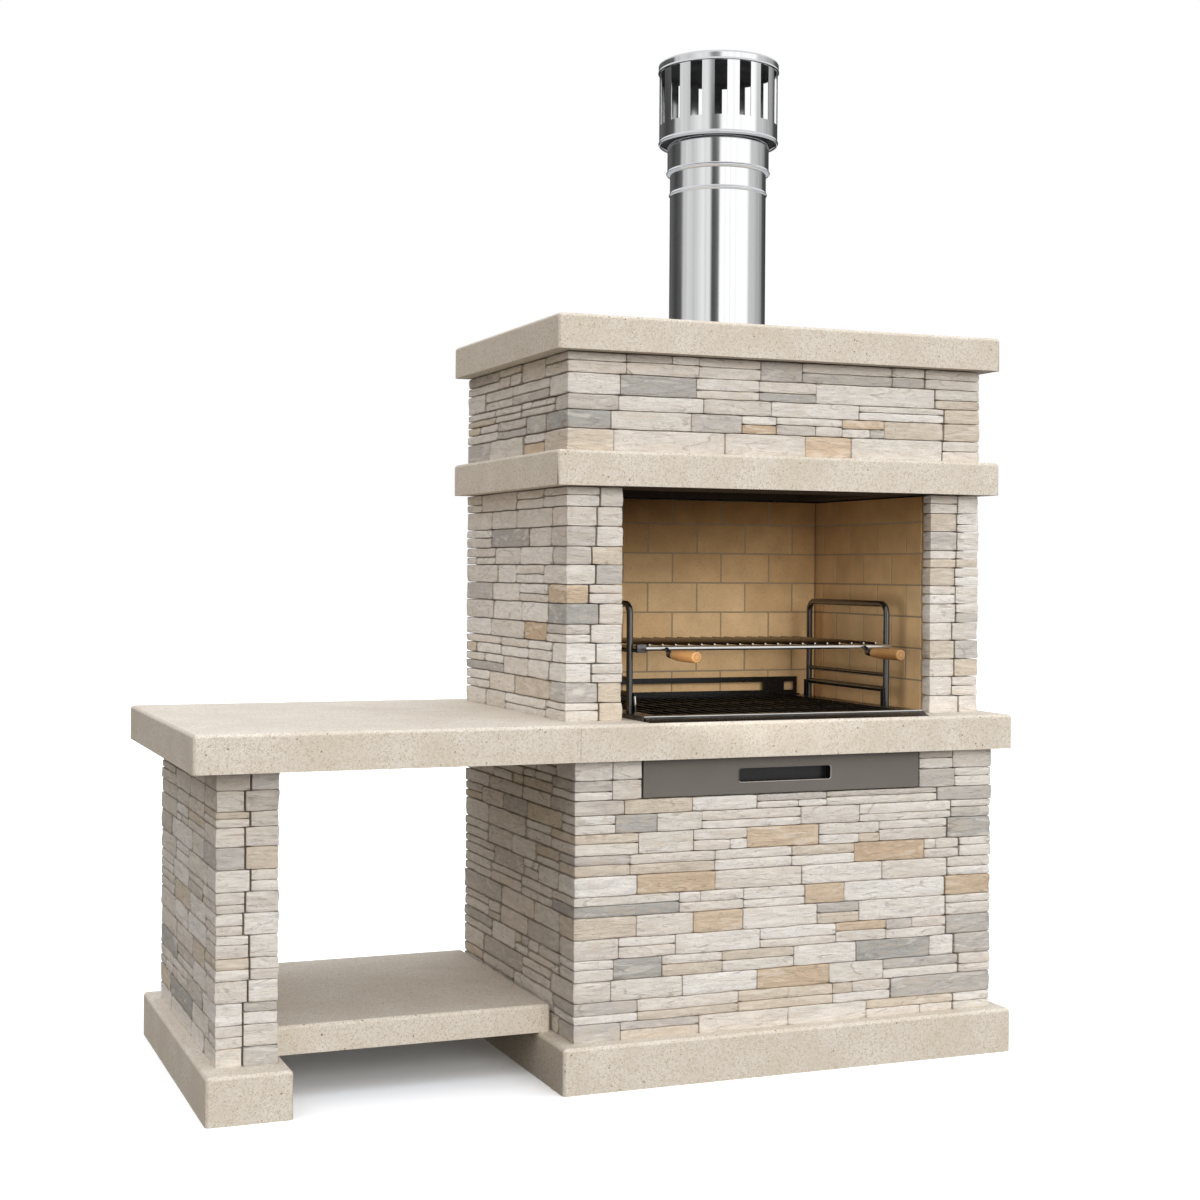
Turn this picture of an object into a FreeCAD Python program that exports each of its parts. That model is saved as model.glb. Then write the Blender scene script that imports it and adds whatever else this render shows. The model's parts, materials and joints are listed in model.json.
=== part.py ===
import FreeCAD, Part
import math
import os
import random

# A stone garden barbecue with a side table, in millimetres, +Z up, front towards -Y.
# The origin is on the ground, under the middle of the whole outline.

# Overall sizes of the body, from stone face to stone face
body_width = 1116.0
body_depth = 818.0
plinth_height = 107.0
base_height = 648.0
worktop_thickness = 85.0
pillar_height = 548.0
pillar_width = 140.0
pillar_setback = 64.0
lintel_thickness = 82.0
hood_height = 232.0
cap_thickness = 82.0
slab_overhang = 38.0
back_overhang = 70.0
slab_arris = 6.0

# Side table
table_reach = 874.0
table_leg_inset = 70.0
leg_width = 137.0
leg_setback = 70.0
leg_plinth_left = 32.0
leg_plinth_right = 21.0
shelf_setback = 134.0
shelf_thickness = 65.0
shelf_end_gap = 6.0
lap_seam = 12.0
lap_length = 96.0
lap_thickness = 42.0
lap_gap = 2.0

# Cast walls behind the stones
wall = 60.0

# Ledge stones: relative heights of the courses, stone sizes and relief
base_courses = (43, 49, 48, 49, 48, 50, 48, 46, 48, 50, 43, 34, 46, 46)
pillar_courses = (44, 47, 45, 47, 44, 48, 45, 46, 43, 47, 46, 46)
hood_courses = (54, 44, 36, 49, 49)
drawer_courses = 2
stone_depth = 26.0
stone_relief = 4.0
stone_joint = 3.0
stone_length = 205.0
stone_spread = (0.55, 1.45)
stone_count_spread = (-0.3, 0.3)
corner_arm_short = 62.0
corner_arm_long = 140.0
arm_share = (0.4, 0.6)
pillar_arm_share = (0.3, 0.7)
reveal_depth = 41.0

# Stones of the base front and the hood front that stand out by their colour keep their place:
# course, distance from the left corner, length
base_marked = ((9, 440, 193), (7, 157, 200), (6, 596, 107), (8, 730, 197), (5, 301, 130), (4, 681, 139),
               (2, 469, 194), (10, 79, 128), (3, 76, 146), (5, 629, 115), (3, 737, 206))
base_left_arms = {6: 239, 10: 76, 3: 73}
base_right_arms = {6: 105, 9: 100, 4: 102, 1: 258}
hood_marked = ((3, 148, 181), (3, 496, 155), (4, 864, 180), (0, 622, 128), (1, 451, 92), (1, 724, 118))
hood_left_arms = {1: 84}

# Firebrick lining
brick_length = 146.0
brick_height = 80.3
brick_depth = 26.0
brick_joint = 4.0
brick_sliver = 20.0
firebox_depth = 600.0

# Smoke way
throat_inset = 68.0
throat_depth = 400.0
flue_diameter = 250.0
flue_sheet = 2.0
flue_seat = 40.0
flue_fit = 0.4
flue_height = 453.0
bead_height = 10.0
bead_rise = 4.0
bead_drop = 66.0
socket_diameter = 264.0
socket_lap = 15.0
socket_height = 85.0
socket_fit = 0.3
drum_diameter = 308.0
drum_height = 190.0
drum_lip = 7.0
drum_band = 42.0
drum_top_ring = 9.0
drum_slots = 15
cowl_turn = -5.0
pipe_sides = 2 * drum_slots
lid_diameter = 313.0
lid_height = 24.0
lid_sheet = 2.0
lid_lap = 8.0

# Fire tray and ember grate
tray_left_gap = 32.0
tray_right_gap = 57.0
tray_front = 5.0
tray_back_gap = 6.0
tray_sheet = 3.0
tray_rise = 12.0
apron_reach = 35.0
flange_side = 46.0
flange_front = 40.0
flange_back = 34.0
pan_floor = 10.0
pan_fit = 5.0
ash_slots = 6
ash_slot_width = 18.0
ash_slot_margin = 60.0
ledge_width = 12.0
ledge_height = 6.0
grate_height = 12.0
grate_gap = 2.0
grate_seat = 0.5
grate_sink = 3.5
grate_bars = 20
grate_bar_width = 10.0
grate_end_bar = 14.0
tab_height = 45.0
tab_width = 16.0
tab_gap = 1.0

# Grill frames and rear guard
rod_sides = 12
frame_left_inset = 29.0
frame_right_inset = 10.0
frame_tube = 16.0
frame_height = 267.0
frame_front = 163.0
frame_length = 412.0
frame_bend = 26.0
bend_steps = 5
low_rail_height = 42.0
low_rail_tube = 15.0
mid_rail_height = 79.0
mid_rail_tube = 10.0
rest_height = 146.0
rest_width = 26.0
rest_sheet = 3.0
guard_sheet = 6.0
guard_height = 49.0
guard_rail = 14.0
guard_sill = 12.0
guard_plate = 65.0
guard_plate_inset = 40.0
guard_post = 10.0
guard_side_inset = 9.0
guard_foot = 18.0
guard_back_gap = 4.0

# Cooking grill
grill_side_gap = 14.0
grill_seat = 0.4
grill_end_rod = 11.0
grill_side_rod = 12.0
rod_overhang = 6.0
front_rod_reach = 24.0
grill_front_gap = 4.0
grill_back_gap = 14.0
grill_bar = 6.0
grill_bars = 19
grill_bar_margin = 21.0
grill_bar_end = 4.0
weld_gap = 0.1
lug_width = 24.0
lug_height = 20.0
lug_depth = 12.0
left_handle_inset = 64.0
right_handle_inset = 55.0
handle_drop = 14.0
tang_length = 43.0
tang_diameter = 8.0
ferrule_length = 20.0
ferrule_diameter = 18.0
grip_length = 135.0
grip_diameter = 27.0
grip_neck = 22.0
grip_round = 5.0
grip_sides = 16

# Ash drawer
drawer_left_margin = 170.0
drawer_right_margin = 210.0
drawer_gap = 2.0
drawer_panel_depth = 30.0
drawer_panel_sheet = 2.0
drawer_lip = 16.0
drawer_length = 610.0
drawer_box_height = 68.0
drawer_box_sheet = 2.0
slot_width = 245.0
slot_height = 32.0
slot_round = 5.0
pocket_wall = 3.0
pocket_depth = 25.0
runner_leg = 28.0
runner_sheet = 3.0
runner_gap = 1.0
runner_seat = 0.5
screw_diameter = 5.0
screw_head = 9.0
screw_head_height = 3.0
screw_hole_fit = 0.4
screw_inset = 40.0

# Levels
plinth_top = plinth_height
worktop_bottom = plinth_top + base_height
worktop_top = worktop_bottom + worktop_thickness
lintel_bottom = worktop_top + pillar_height
lintel_top = lintel_bottom + lintel_thickness
hood_top = lintel_top + hood_height
cap_top = hood_top + cap_thickness

# Lines in plan: faces of the stones, then faces of the cast walls behind them
left_face = (table_reach - body_width - slab_overhang) / 2
right_face = left_face + body_width
front_face = (slab_overhang - body_depth - back_overhang) / 2
back_face = front_face + body_depth
body_middle = (left_face + right_face) / 2
slab_right = right_face + slab_overhang
slab_front = front_face - slab_overhang
slab_back = back_face + back_overhang
table_left = left_face - table_reach
core_left = left_face + stone_depth
core_right = right_face - stone_depth
core_front = front_face + stone_depth
pillar_front = front_face + pillar_setback
pillar_core_front = pillar_front + stone_depth
lintel_front = pillar_front - slab_overhang
firebox_left = left_face + pillar_width
firebox_right = right_face - pillar_width
firebox_back = pillar_front + firebox_depth
leg_left = table_left + table_leg_inset
leg_right = leg_left + leg_width
leg_front = front_face + leg_setback
flue_x = body_middle
flue_y = (pillar_front + back_face) / 2

# The same seed every time gives the same stones every time
chance = random.Random(41)


def point(x, y, z=0.0):
    return FreeCAD.Vector(x, y, z)


def block(x0, x1, y0, y1, z0, z1):
    return Part.makeBox(x1 - x0, y1 - y0, z1 - z0, point(x0, y0, z0))


def prism(corners, z0, z1):
    outline = Part.makePolygon([point(x, y, z0) for x, y in corners + corners[:1]])
    return Part.Face(outline).extrude(point(0, 0, z1 - z0))


# Round pieces are drawn with flats that touch the true circle, which keeps the model light
def spokes(sides):
    turns = [(index + 0.5) * 2 * math.pi / sides for index in range(sides)]
    reach = 1 / math.cos(math.pi / sides)
    return [(reach * math.cos(turn), reach * math.sin(turn)) for turn in turns]


def turned(profile, x, y, sides):
    faces = []
    rim = spokes(sides)
    for (r0, z0), (r1, z1) in zip(profile, profile[1:] + profile[:1]):
        for (ax, ay), (bx, by) in zip(rim, rim[1:] + rim[:1]):
            corners = [point(ax * r0, ay * r0, z0), point(bx * r0, by * r0, z0),
                       point(bx * r1, by * r1, z1), point(ax * r1, ay * r1, z1)]
            if r0 == 0:
                corners.pop(0)
            if r1 == 0:
                corners.pop()
            if r0 or r1:
                faces.append(Part.Face(Part.makePolygon(corners + corners[:1])))
    solid = Part.makeSolid(Part.makeShell(faces)).removeSplitter()
    solid.translate(point(x, y))
    return solid


def round_column(x, y, z0, z1, radius, sides):
    return prism([(x + radius * u, y + radius * v) for u, v in spokes(sides)], z0, z1)


def rod_section(centre, across, up, diameter):
    corners = [centre + across * (u * diameter / 2) + up * (v * diameter / 2) for u, v in spokes(rod_sides)]
    return Part.makePolygon(corners + corners[:1])


def rod_along_x(x0, x1, y, z, diameter):
    section = rod_section(point(x0, y, z), point(0, 1), point(0, 0, 1), diameter)
    return Part.Face(section).extrude(point(x1 - x0, 0))


def rod_along_y(y0, y1, x, z, diameter):
    section = rod_section(point(x, y0, z), point(1, 0), point(0, 0, 1), diameter)
    return Part.Face(section).extrude(point(0, y1 - y0))


def save(name, solids):
    shape = solids if isinstance(solids, Part.Shape) else Part.makeCompound(solids)
    shape.exportStep("parts/" + name + ".step")
    print(name, len(shape.Solids))


# Cast slabs, with a broken arris on every edge that is not on the ground or in a seat
def slab(x0, x1, y0, y1, z0, z1):
    solid = block(x0, x1, y0, y1, z0, z1)
    edges = [e for e in solid.Edges if e.BoundBox.ZMax > z0 + slab_arris]
    return solid.makeChamfer(slab_arris, edges)


def plinths():
    save("base_plinth", slab(left_face - slab_overhang, slab_right, slab_front, slab_back, 0, plinth_top))
    save("leg_plinth", slab(leg_left - leg_plinth_left, leg_right + leg_plinth_right,
                            front_face, slab_back, 0, plinth_top))


def shelf():
    save("lower_shelf", slab(leg_right + shelf_end_gap, left_face - shelf_end_gap,
                             front_face + shelf_setback, back_face, plinth_top, plinth_top + shelf_thickness))


# The worktop is two slabs: the table slab ends in a tongue that lies under the hearth slab
lap_x = left_face - lap_seam
lap_end = lap_x + lap_length
lap_top = worktop_bottom + lap_thickness
tray_left = firebox_left + tray_left_gap
tray_right = firebox_right - tray_right_gap
tray_y0 = front_face + tray_front
tray_y1 = firebox_back - tray_back_gap
flange_top = worktop_top + tray_rise
pan_left = tray_left + flange_side
pan_right = tray_right - flange_side
pan_front = tray_y0 + flange_front
pan_back = tray_y1 - flange_back


def worktop():
    table = slab(table_left, lap_x, slab_front, slab_back, worktop_bottom, worktop_top)
    tongue = block(lap_x - slab_arris, lap_end, slab_front + slab_overhang, slab_back - slab_overhang,
                   worktop_bottom, lap_top)
    save("table_slab", table.fuse(tongue).removeSplitter())
    hearth = slab(lap_x + lap_gap, slab_right, slab_front, slab_back, worktop_bottom, worktop_top)
    rebate = block(lap_x, lap_end + lap_gap, slab_front + slab_overhang - lap_gap,
                   slab_back - slab_overhang + lap_gap, worktop_bottom, lap_top + lap_gap)
    margin = tray_sheet + pan_fit
    hole = block(pan_left - margin, pan_right + margin, pan_front - margin, pan_back + margin,
                 worktop_bottom, worktop_top)
    save("hearth_slab", hearth.cut(rebate).cut(hole))


def lintel_and_cap():
    outline = (left_face - slab_overhang, slab_right, lintel_front, back_face)
    throat = block(firebox_left + throat_inset, firebox_right - throat_inset,
                   flue_y - throat_depth / 2, flue_y + throat_depth / 2, lintel_bottom, lintel_top)
    save("lintel_slab", slab(*outline, lintel_bottom, lintel_top).cut(throat))
    bore = round_column(flue_x, flue_y, hood_top, cap_top, flue_diameter / 2 - flue_sheet, pipe_sides)
    seat = round_column(flue_x, flue_y, cap_top - flue_seat, cap_top, flue_diameter / 2 + flue_fit, pipe_sides)
    save("top_slab", slab(*outline, hood_top, cap_top).cut(bore).cut(seat))


# Cast walls that carry the stones
drawer_left = left_face + drawer_left_margin
drawer_right = right_face - drawer_right_margin
bay_left = drawer_left - drawer_gap
bay_right = drawer_right + drawer_gap
sill = worktop_bottom - base_height * sum(base_courses[-drawer_courses:]) / sum(base_courses)


def base_walls():
    inner_left = core_left + wall
    inner_right = core_right - wall
    save("base_left_wall", block(core_left, inner_left, core_front, back_face, plinth_top, worktop_bottom))
    save("base_right_wall", block(inner_right, core_right, core_front, back_face, plinth_top, worktop_bottom))
    save("base_front_wall", block(inner_left, inner_right, core_front, core_front + wall, plinth_top, sill))
    save("base_back_wall", block(inner_left, inner_right, back_face - wall, back_face,
                                 plinth_top, worktop_bottom))
    save("drawer_left_cheek", block(inner_left, bay_left, core_front, core_front + wall, sill, worktop_bottom))
    save("drawer_right_cheek", block(bay_right, inner_right, core_front, core_front + wall,
                                     sill, worktop_bottom))


def upper_walls():
    save("leg_core", block(leg_left + stone_depth, leg_right - stone_depth, leg_front + stone_depth, back_face,
                           plinth_top, worktop_bottom))
    save("left_pillar_core", block(core_left, firebox_left - brick_depth, pillar_core_front, back_face,
                                   worktop_top, lintel_bottom))
    save("right_pillar_core", block(firebox_right + brick_depth, core_right, pillar_core_front, back_face,
                                    worktop_top, lintel_bottom))
    save("firebox_back_wall", block(firebox_left - brick_depth, firebox_right + brick_depth,
                                    firebox_back + brick_depth, back_face, worktop_top, lintel_bottom))
    inner_left = core_left + wall
    inner_right = core_right - wall
    save("hood_left_wall", block(core_left, inner_left, pillar_core_front, back_face, lintel_top, hood_top))
    save("hood_right_wall", block(inner_right, core_right, pillar_core_front, back_face, lintel_top, hood_top))
    save("hood_front_wall", block(inner_left, inner_right, pillar_core_front, pillar_core_front + wall,
                                  lintel_top, hood_top))
    save("hood_back_wall", block(inner_left, inner_right, back_face - wall, back_face, lintel_top, hood_top))


# Ledge stones. A course is a band between two levels, and its stones end one joint below the next one.
def course_levels(courses, bottom, height):
    levels = [bottom]
    for share in courses:
        levels.append(levels[-1] + height * share / sum(courses))
    return list(zip(levels, levels[1:]))


def relief():
    return stone_depth - chance.uniform(0, 2 * stone_relief) + stone_relief / 2


def corner_arm():
    return chance.uniform(corner_arm_short, corner_arm_long)


def split_runs(start, end):
    count = max(1, round((end - start) / stone_length + chance.uniform(*stone_count_spread)))
    shares = [chance.uniform(*stone_spread) for _ in range(count)]
    step = (end - start) / sum(shares)
    runs = []
    for share in shares:
        runs.append((start, start + share * step))
        start += share * step
    return runs


def runs_between(start, end, marked=()):
    runs = []
    for place, length in sorted(marked):
        if place - start > corner_arm_short / 2:
            runs += split_runs(start, place)
        else:
            length += place - start
            place = start
        stop = min(place + length, end)
        runs.append((place, stop))
        start = stop
    if end - start > stone_joint:
        runs += split_runs(start, end)
    return runs


# A straight face: origin on the cast wall, direction along it, and the way out of it
def face_stones(origin, along, out, runs, z0, z1):
    stones = []
    for start, stop in runs:
        a = origin + along * start
        b = origin + along * (stop - stone_joint) + out * relief()
        stones.append(block(min(a.x, b.x), max(a.x, b.x), min(a.y, b.y), max(a.y, b.y), z0, z1 - stone_joint))
    return stones


# A stone that turns a corner of the wall, with an arm along each face
def corner_stone(corner, along_a, along_b, arm_a, arm_b, z0, z1):
    out_a = along_b * -relief()
    out_b = along_a * -relief()
    end_a = corner + along_a * (arm_a - stone_joint)
    end_b = corner + along_b * (arm_b - stone_joint)
    corners = [corner, end_a, end_a + out_a, corner + out_a + out_b, end_b + out_b, end_b]
    return prism([(c.x, c.y) for c in corners], z0, z1 - stone_joint)


to_right = point(1, 0)
to_left = point(-1, 0)
to_back = point(0, 1)
to_front = point(0, -1)


# One course round three sides: left side, front, right side. Returns the stones of each.
def three_sided_course(x0, x1, y0, y1, z0, z1, marked=(), left_arm=None, right_arm=None):
    width = x1 - x0
    depth = y1 - y0
    left_arm = left_arm or corner_arm()
    right_arm = right_arm or corner_arm()
    if left_arm + right_arm > width - corner_arm_short:
        left_arm = width * chance.uniform(*arm_share)
        right_arm = width - left_arm
    left_back = corner_arm()
    right_back = corner_arm()
    left_corner = point(x0, y0)
    right_corner = point(x1, y0)
    front = [corner_stone(left_corner, to_right, to_back, left_arm, left_back, z0, z1),
             corner_stone(right_corner, to_left, to_back, right_arm, right_back, z0, z1)]
    front += face_stones(left_corner, to_right, to_front, runs_between(left_arm, width - right_arm, marked), z0, z1)
    left = face_stones(left_corner, to_back, to_left, runs_between(left_back, depth), z0, z1)
    right = face_stones(right_corner, to_back, to_right, runs_between(right_back, depth), z0, z1)
    return left, front, right


def base_stones():
    left, front, right = [], [], []
    levels = course_levels(base_courses, plinth_top, base_height)
    for index, (z0, z1) in enumerate(levels[:-drawer_courses]):
        marked = [(place - stone_depth, length) for course, place, length in base_marked if course == index]
        a, b, c = three_sided_course(core_left, core_right, core_front, back_face, z0, z1, marked,
                                     base_left_arms.get(index), base_right_arms.get(index))
        left, front, right = left + a, front + b, right + c
    save("base_front_stones", front)
    beside_left, beside_right = [], []
    for z0, z1 in levels[-drawer_courses:]:
        for corner, along, end, group, side, out in (
                (point(core_left, core_front), to_right, bay_left - core_left, beside_left, left, to_left),
                (point(core_right, core_front), to_left, core_right - bay_right, beside_right, right, to_right)):
            arm = end * chance.uniform(*arm_share)
            arm_back = corner_arm()
            group.append(corner_stone(corner, along, to_back, arm, arm_back, z0, z1))
            group.extend(face_stones(corner, along, to_front, [(arm, end)], z0, z1))
            side.extend(face_stones(corner, to_back, out, runs_between(arm_back, body_depth - stone_depth), z0, z1))
    save("drawer_left_stones", beside_left)
    save("drawer_right_stones", beside_right)
    save("base_left_stones", left)
    save("base_right_stones", right)


def leg_stones():
    stones = []
    for z0, z1 in course_levels(base_courses, plinth_top, base_height):
        for side in three_sided_course(leg_left + stone_depth, leg_right - stone_depth,
                                       leg_front + stone_depth, back_face, z0, z1):
            stones += side
    save("leg_stones", stones)


def hood_stones():
    stones = []
    for index, (z0, z1) in enumerate(course_levels(hood_courses, lintel_top, hood_height)):
        marked = [(place - stone_depth, length) for course, place, length in hood_marked if course == index]
        for side in three_sided_course(core_left, core_right, pillar_core_front, back_face, z0, z1, marked,
                                       hood_left_arms.get(index)):
            stones += side
    save("hood_stones", stones)


# A pillar has stones outside, in front and on a short return inside, ahead of the bricks
def pillar_stones(name, outer_x, inner_x, outward, inward):
    stones = []
    width = abs(inner_x - outer_x)
    outer = point(outer_x, pillar_core_front)
    inner = point(inner_x, pillar_core_front)
    for z0, z1 in course_levels(pillar_courses, worktop_top, pillar_height):
        arm = width * chance.uniform(*pillar_arm_share)
        arm_back = corner_arm()
        stones.append(corner_stone(outer, inward, to_back, arm, arm_back, z0, z1))
        stones.append(corner_stone(inner, outward, to_back, width - arm, reveal_depth - stone_depth, z0, z1))
        runs = runs_between(arm_back, back_face - pillar_core_front)
        stones += face_stones(outer, to_back, outward, runs, z0, z1)
    save(name, stones)


# Firebricks in running bond, each seated on the wall behind it
def brick_wall(name, origin, along, out, length):
    bricks = []
    course = 0
    z0 = worktop_top
    while z0 < lintel_bottom - brick_sliver:
        z1 = min(z0 + brick_height, lintel_bottom)
        place = 0.0
        size = brick_length if course % 2 == 0 else brick_length / 2
        while place < length:
            stop = place + size
            if length - stop < brick_sliver:
                stop = length
            a = origin + along * place
            b = origin + along * (stop - brick_joint) + out * brick_depth
            bricks.append(block(min(a.x, b.x), max(a.x, b.x), min(a.y, b.y), max(a.y, b.y),
                                z0, z1 - brick_joint))
            place = stop
            size = brick_length
        z0 += brick_height
        course += 1
    save(name, bricks)


def lining():
    behind = firebox_back + brick_depth
    brick_wall("back_firebricks", point(firebox_right - brick_joint, behind), to_left, to_front,
               firebox_right - firebox_left - brick_joint)
    side_length = behind - pillar_front - reveal_depth
    brick_wall("left_firebricks", point(firebox_left - brick_depth, behind), to_front, to_right, side_length)
    brick_wall("right_firebricks", point(firebox_right + brick_depth, behind), to_front, to_left, side_length)


# Smoke pipe and cowl, turned from their sheet profiles
pipe_foot = cap_top - flue_seat
pipe_top = cap_top + flue_height
socket_foot = pipe_top - socket_lap
socket_top = socket_foot + socket_height
drum_top = socket_top + drum_height


def flue():
    outer = flue_diameter / 2
    inner = outer - flue_sheet
    bead = pipe_top - bead_drop
    half = bead_height / 2
    save("flue_pipe", turned([(inner, pipe_foot), (outer, pipe_foot), (outer, bead - half),
                              (outer + bead_rise, bead - half / 2), (outer + bead_rise, bead + half / 2),
                              (outer, bead + half), (outer, pipe_top), (inner, pipe_top)],
                             flue_x, flue_y, pipe_sides))
    wide = socket_diameter / 2
    seat = outer + socket_fit
    swell = wide + bead_rise
    save("flue_socket", turned([(seat, socket_foot), (wide, socket_foot), (swell, socket_foot + half / 2),
                                (swell, socket_foot + 3 * half / 2), (wide, socket_foot + bead_height),
                                (wide, socket_top),
                                (wide - flue_sheet, socket_top), (wide - flue_sheet, pipe_top + flue_sheet),
                                (inner, pipe_top + flue_sheet), (inner, pipe_top), (seat, pipe_top)],
                               flue_x, flue_y, pipe_sides))


def cowl():
    outer = drum_diameter / 2
    inner = outer - flue_sheet
    throat = socket_diameter / 2 - flue_sheet
    drum_foot = socket_top - drum_lip
    drum = turned([(throat, socket_top), (inner, socket_top), (inner, drum_foot), (outer, drum_foot),
                   (outer, drum_top), (inner, drum_top), (inner, socket_top + flue_sheet),
                   (throat, socket_top + flue_sheet)], flue_x, flue_y, pipe_sides)
    rim = spokes(pipe_sides)
    near = inner - drum_band
    far = outer + drum_band
    cutters = []
    for index in range(0, pipe_sides, 2):
        (ax, ay), (bx, by) = rim[index], rim[index + 1]
        corners = [(near * ax, near * ay), (far * ax, far * ay), (far * bx, far * by), (near * bx, near * by)]
        cutters.append(prism([(flue_x + x, flue_y + y) for x, y in corners],
                             socket_top + drum_band, drum_top - drum_top_ring))
    drum = drum.cut(cutters)
    axis = point(flue_x, flue_y)
    upwards = point(0, 0, 1)
    drum.rotate(axis, upwards, cowl_turn)
    save("cowl_drum", drum)
    rim = lid_diameter / 2
    rim_foot = drum_top - lid_lap
    lid_top = rim_foot + lid_height
    lid = turned([(0, drum_top), (outer + socket_fit, drum_top), (outer + socket_fit, rim_foot),
                  (rim, rim_foot), (rim, lid_top - lid_sheet), (rim - lid_sheet, lid_top),
                  (0, lid_top)], flue_x, flue_y, pipe_sides)
    lid.rotate(axis, upwards, cowl_turn)
    save("cowl_lid", lid)


# Fire tray: sloped apron, raised flange, pan with ash slots and a ledge for the grate
def fire_tray():
    under = flange_top - tray_sheet
    tray = block(tray_left, tray_right, tray_y0, tray_y1, under, flange_top)
    tray = tray.cut(block(pan_left, pan_right, pan_front, pan_back, under, flange_top))
    run = apron_reach / tray_rise
    apron = [(tray_y0 - apron_reach, worktop_top), (tray_y0, flange_top), (tray_y0, under),
             (tray_y0 - (tray_rise - tray_sheet) * run, worktop_top)]
    outline = Part.makePolygon([point(tray_left, y, z) for y, z in apron + apron[:1]])
    pieces = [Part.Face(outline).extrude(point(tray_right - tray_left, 0))]
    pieces.append(block(tray_left, tray_left + tray_sheet, tray_y0, tray_y1, worktop_top, under))
    pieces.append(block(tray_right - tray_sheet, tray_right, tray_y0, tray_y1, worktop_top, under))
    pieces.append(block(tray_left, tray_right, tray_y1 - tray_sheet, tray_y1, worktop_top, under))
    for x, side in ((frame_left, 1), (frame_right, -1)):
        edge = x + side * (frame_tube / 2 + tab_gap)
        for y in (frame_y0, frame_y1):
            pieces.append(block(min(edge, edge + side * tray_sheet), max(edge, edge + side * tray_sheet),
                                y - tab_width / 2, y + tab_width / 2, flange_top, flange_top + tab_height))
    save("fire_tray", [tray.multiFuse(pieces).removeSplitter()] + pan_sheets(under - weld_gap))


# The pan hangs under the flange: a slotted floor, four walls and two ledges, with room for the welds
def pan_sheets(top):
    floor = worktop_bottom + pan_floor
    outer_left = pan_left - tray_sheet
    outer_right = pan_right + tray_sheet
    outer_front = pan_front - tray_sheet
    outer_back = pan_back + tray_sheet
    bottom = block(outer_left, outer_right, outer_front, outer_back, floor, floor + tray_sheet)
    pitch = (pan_back - pan_front) / ash_slots
    for index in range(ash_slots):
        middle = pan_front + (index + 0.5) * pitch
        bottom = bottom.cut(block(pan_left + ash_slot_margin, pan_right - ash_slot_margin,
                                  middle - ash_slot_width / 2, middle + ash_slot_width / 2,
                                  floor, floor + tray_sheet))
    foot = floor + tray_sheet + weld_gap
    sheets = [bottom]
    for x in (outer_left, pan_right):
        sheets.append(block(x, x + tray_sheet, outer_front, outer_back, foot, top))
    left = pan_left + weld_gap
    right = pan_right - weld_gap
    for y in (outer_front, pan_back):
        sheets.append(block(left, right, y, y + tray_sheet, foot, top))
    ledge_top = flange_top - grate_sink - grate_height - grate_seat
    for y in (pan_front + weld_gap, pan_back - weld_gap - ledge_width):
        sheets.append(block(left, right, y, y + ledge_width, ledge_top - ledge_height, ledge_top))
    return sheets


def ember_grate():
    x0 = pan_left + grate_gap
    x1 = pan_right - grate_gap
    y0 = pan_front + grate_gap
    y1 = pan_back - grate_gap
    top = flange_top - grate_sink
    grate = block(x0, x1, y0, y1, top - grate_height, top)
    pitch = (x1 - x0 - grate_bar_width) / (grate_bars - 1)
    thirds = (y1 - y0 - grate_end_bar) / 3
    gaps = []
    for index in range(grate_bars - 1):
        start = x0 + grate_bar_width + index * pitch
        for third in range(3):
            low = y0 + grate_end_bar + third * thirds
            gaps.append(block(start, start + pitch - grate_bar_width, low, low + thirds - grate_end_bar,
                              top - grate_height, top))
    save("ember_grate", grate.cut(gaps))


# Two bent frames carry the grill, and stand on the flange of the tray.
# Their bends are short straight steps with mitred corners.
mitred = 1
frame_left = tray_left + frame_left_inset
frame_right = tray_right - frame_right_inset
frame_y0 = front_face + frame_front
frame_y1 = frame_y0 + frame_length
rest_top = flange_top + rest_height


def grill_frame(name, x, side):
    top = flange_top + frame_height - frame_tube / 2
    bends = ((frame_y0 + frame_bend, math.pi), (frame_y1 - frame_bend, math.pi / 2))
    line = [point(x, frame_y0, flange_top)]
    for y, start in bends:
        for step in range(bend_steps + 1):
            angle = start - step * math.pi / 2 / bend_steps
            line.append(point(x, y + frame_bend * math.cos(angle), top + frame_bend * (math.sin(angle) - 1)))
    line.append(point(x, frame_y1, flange_top))
    ring = rod_section(line[0], point(1, 0), point(0, 1), frame_tube)
    frame = Part.makePolygon(line).makePipeShell([ring], True, False, mitred)
    rails = [rod_along_y(frame_y0, frame_y1, x, flange_top + low_rail_height, low_rail_tube),
             rod_along_y(frame_y0, frame_y1, x, flange_top + mid_rail_height, mid_rail_tube)]
    inner = x + side * rest_width
    rails.append(block(min(x, inner), max(x, inner), frame_y0, frame_y1, rest_top - rest_sheet, rest_top))
    save(name, frame.multiFuse(rails).removeSplitter())


def ember_guard():
    x0 = tray_left + guard_side_inset
    x1 = tray_right - guard_side_inset
    y1 = tray_y1 - guard_back_gap
    y0 = y1 - guard_sheet
    top = flange_top + guard_height
    guard = block(x0, x1, y0, y1, flange_top, top)
    low = flange_top + guard_sill
    high = top - guard_rail
    plate_left = x0 + guard_plate_inset
    plate_right = x1 - guard_plate_inset
    windows = [(x0 + guard_post, plate_left), (plate_left + guard_plate, plate_right - guard_plate),
               (plate_right, x1 - guard_post)]
    guard = guard.cut([block(a, b, y0, y1, low, high) for a, b in windows])
    foot = block(x0, x1, y0 - guard_foot, y0, flange_top, flange_top + tray_sheet)
    save("rear_ember_guard", guard.fuse(foot).removeSplitter())


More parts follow.
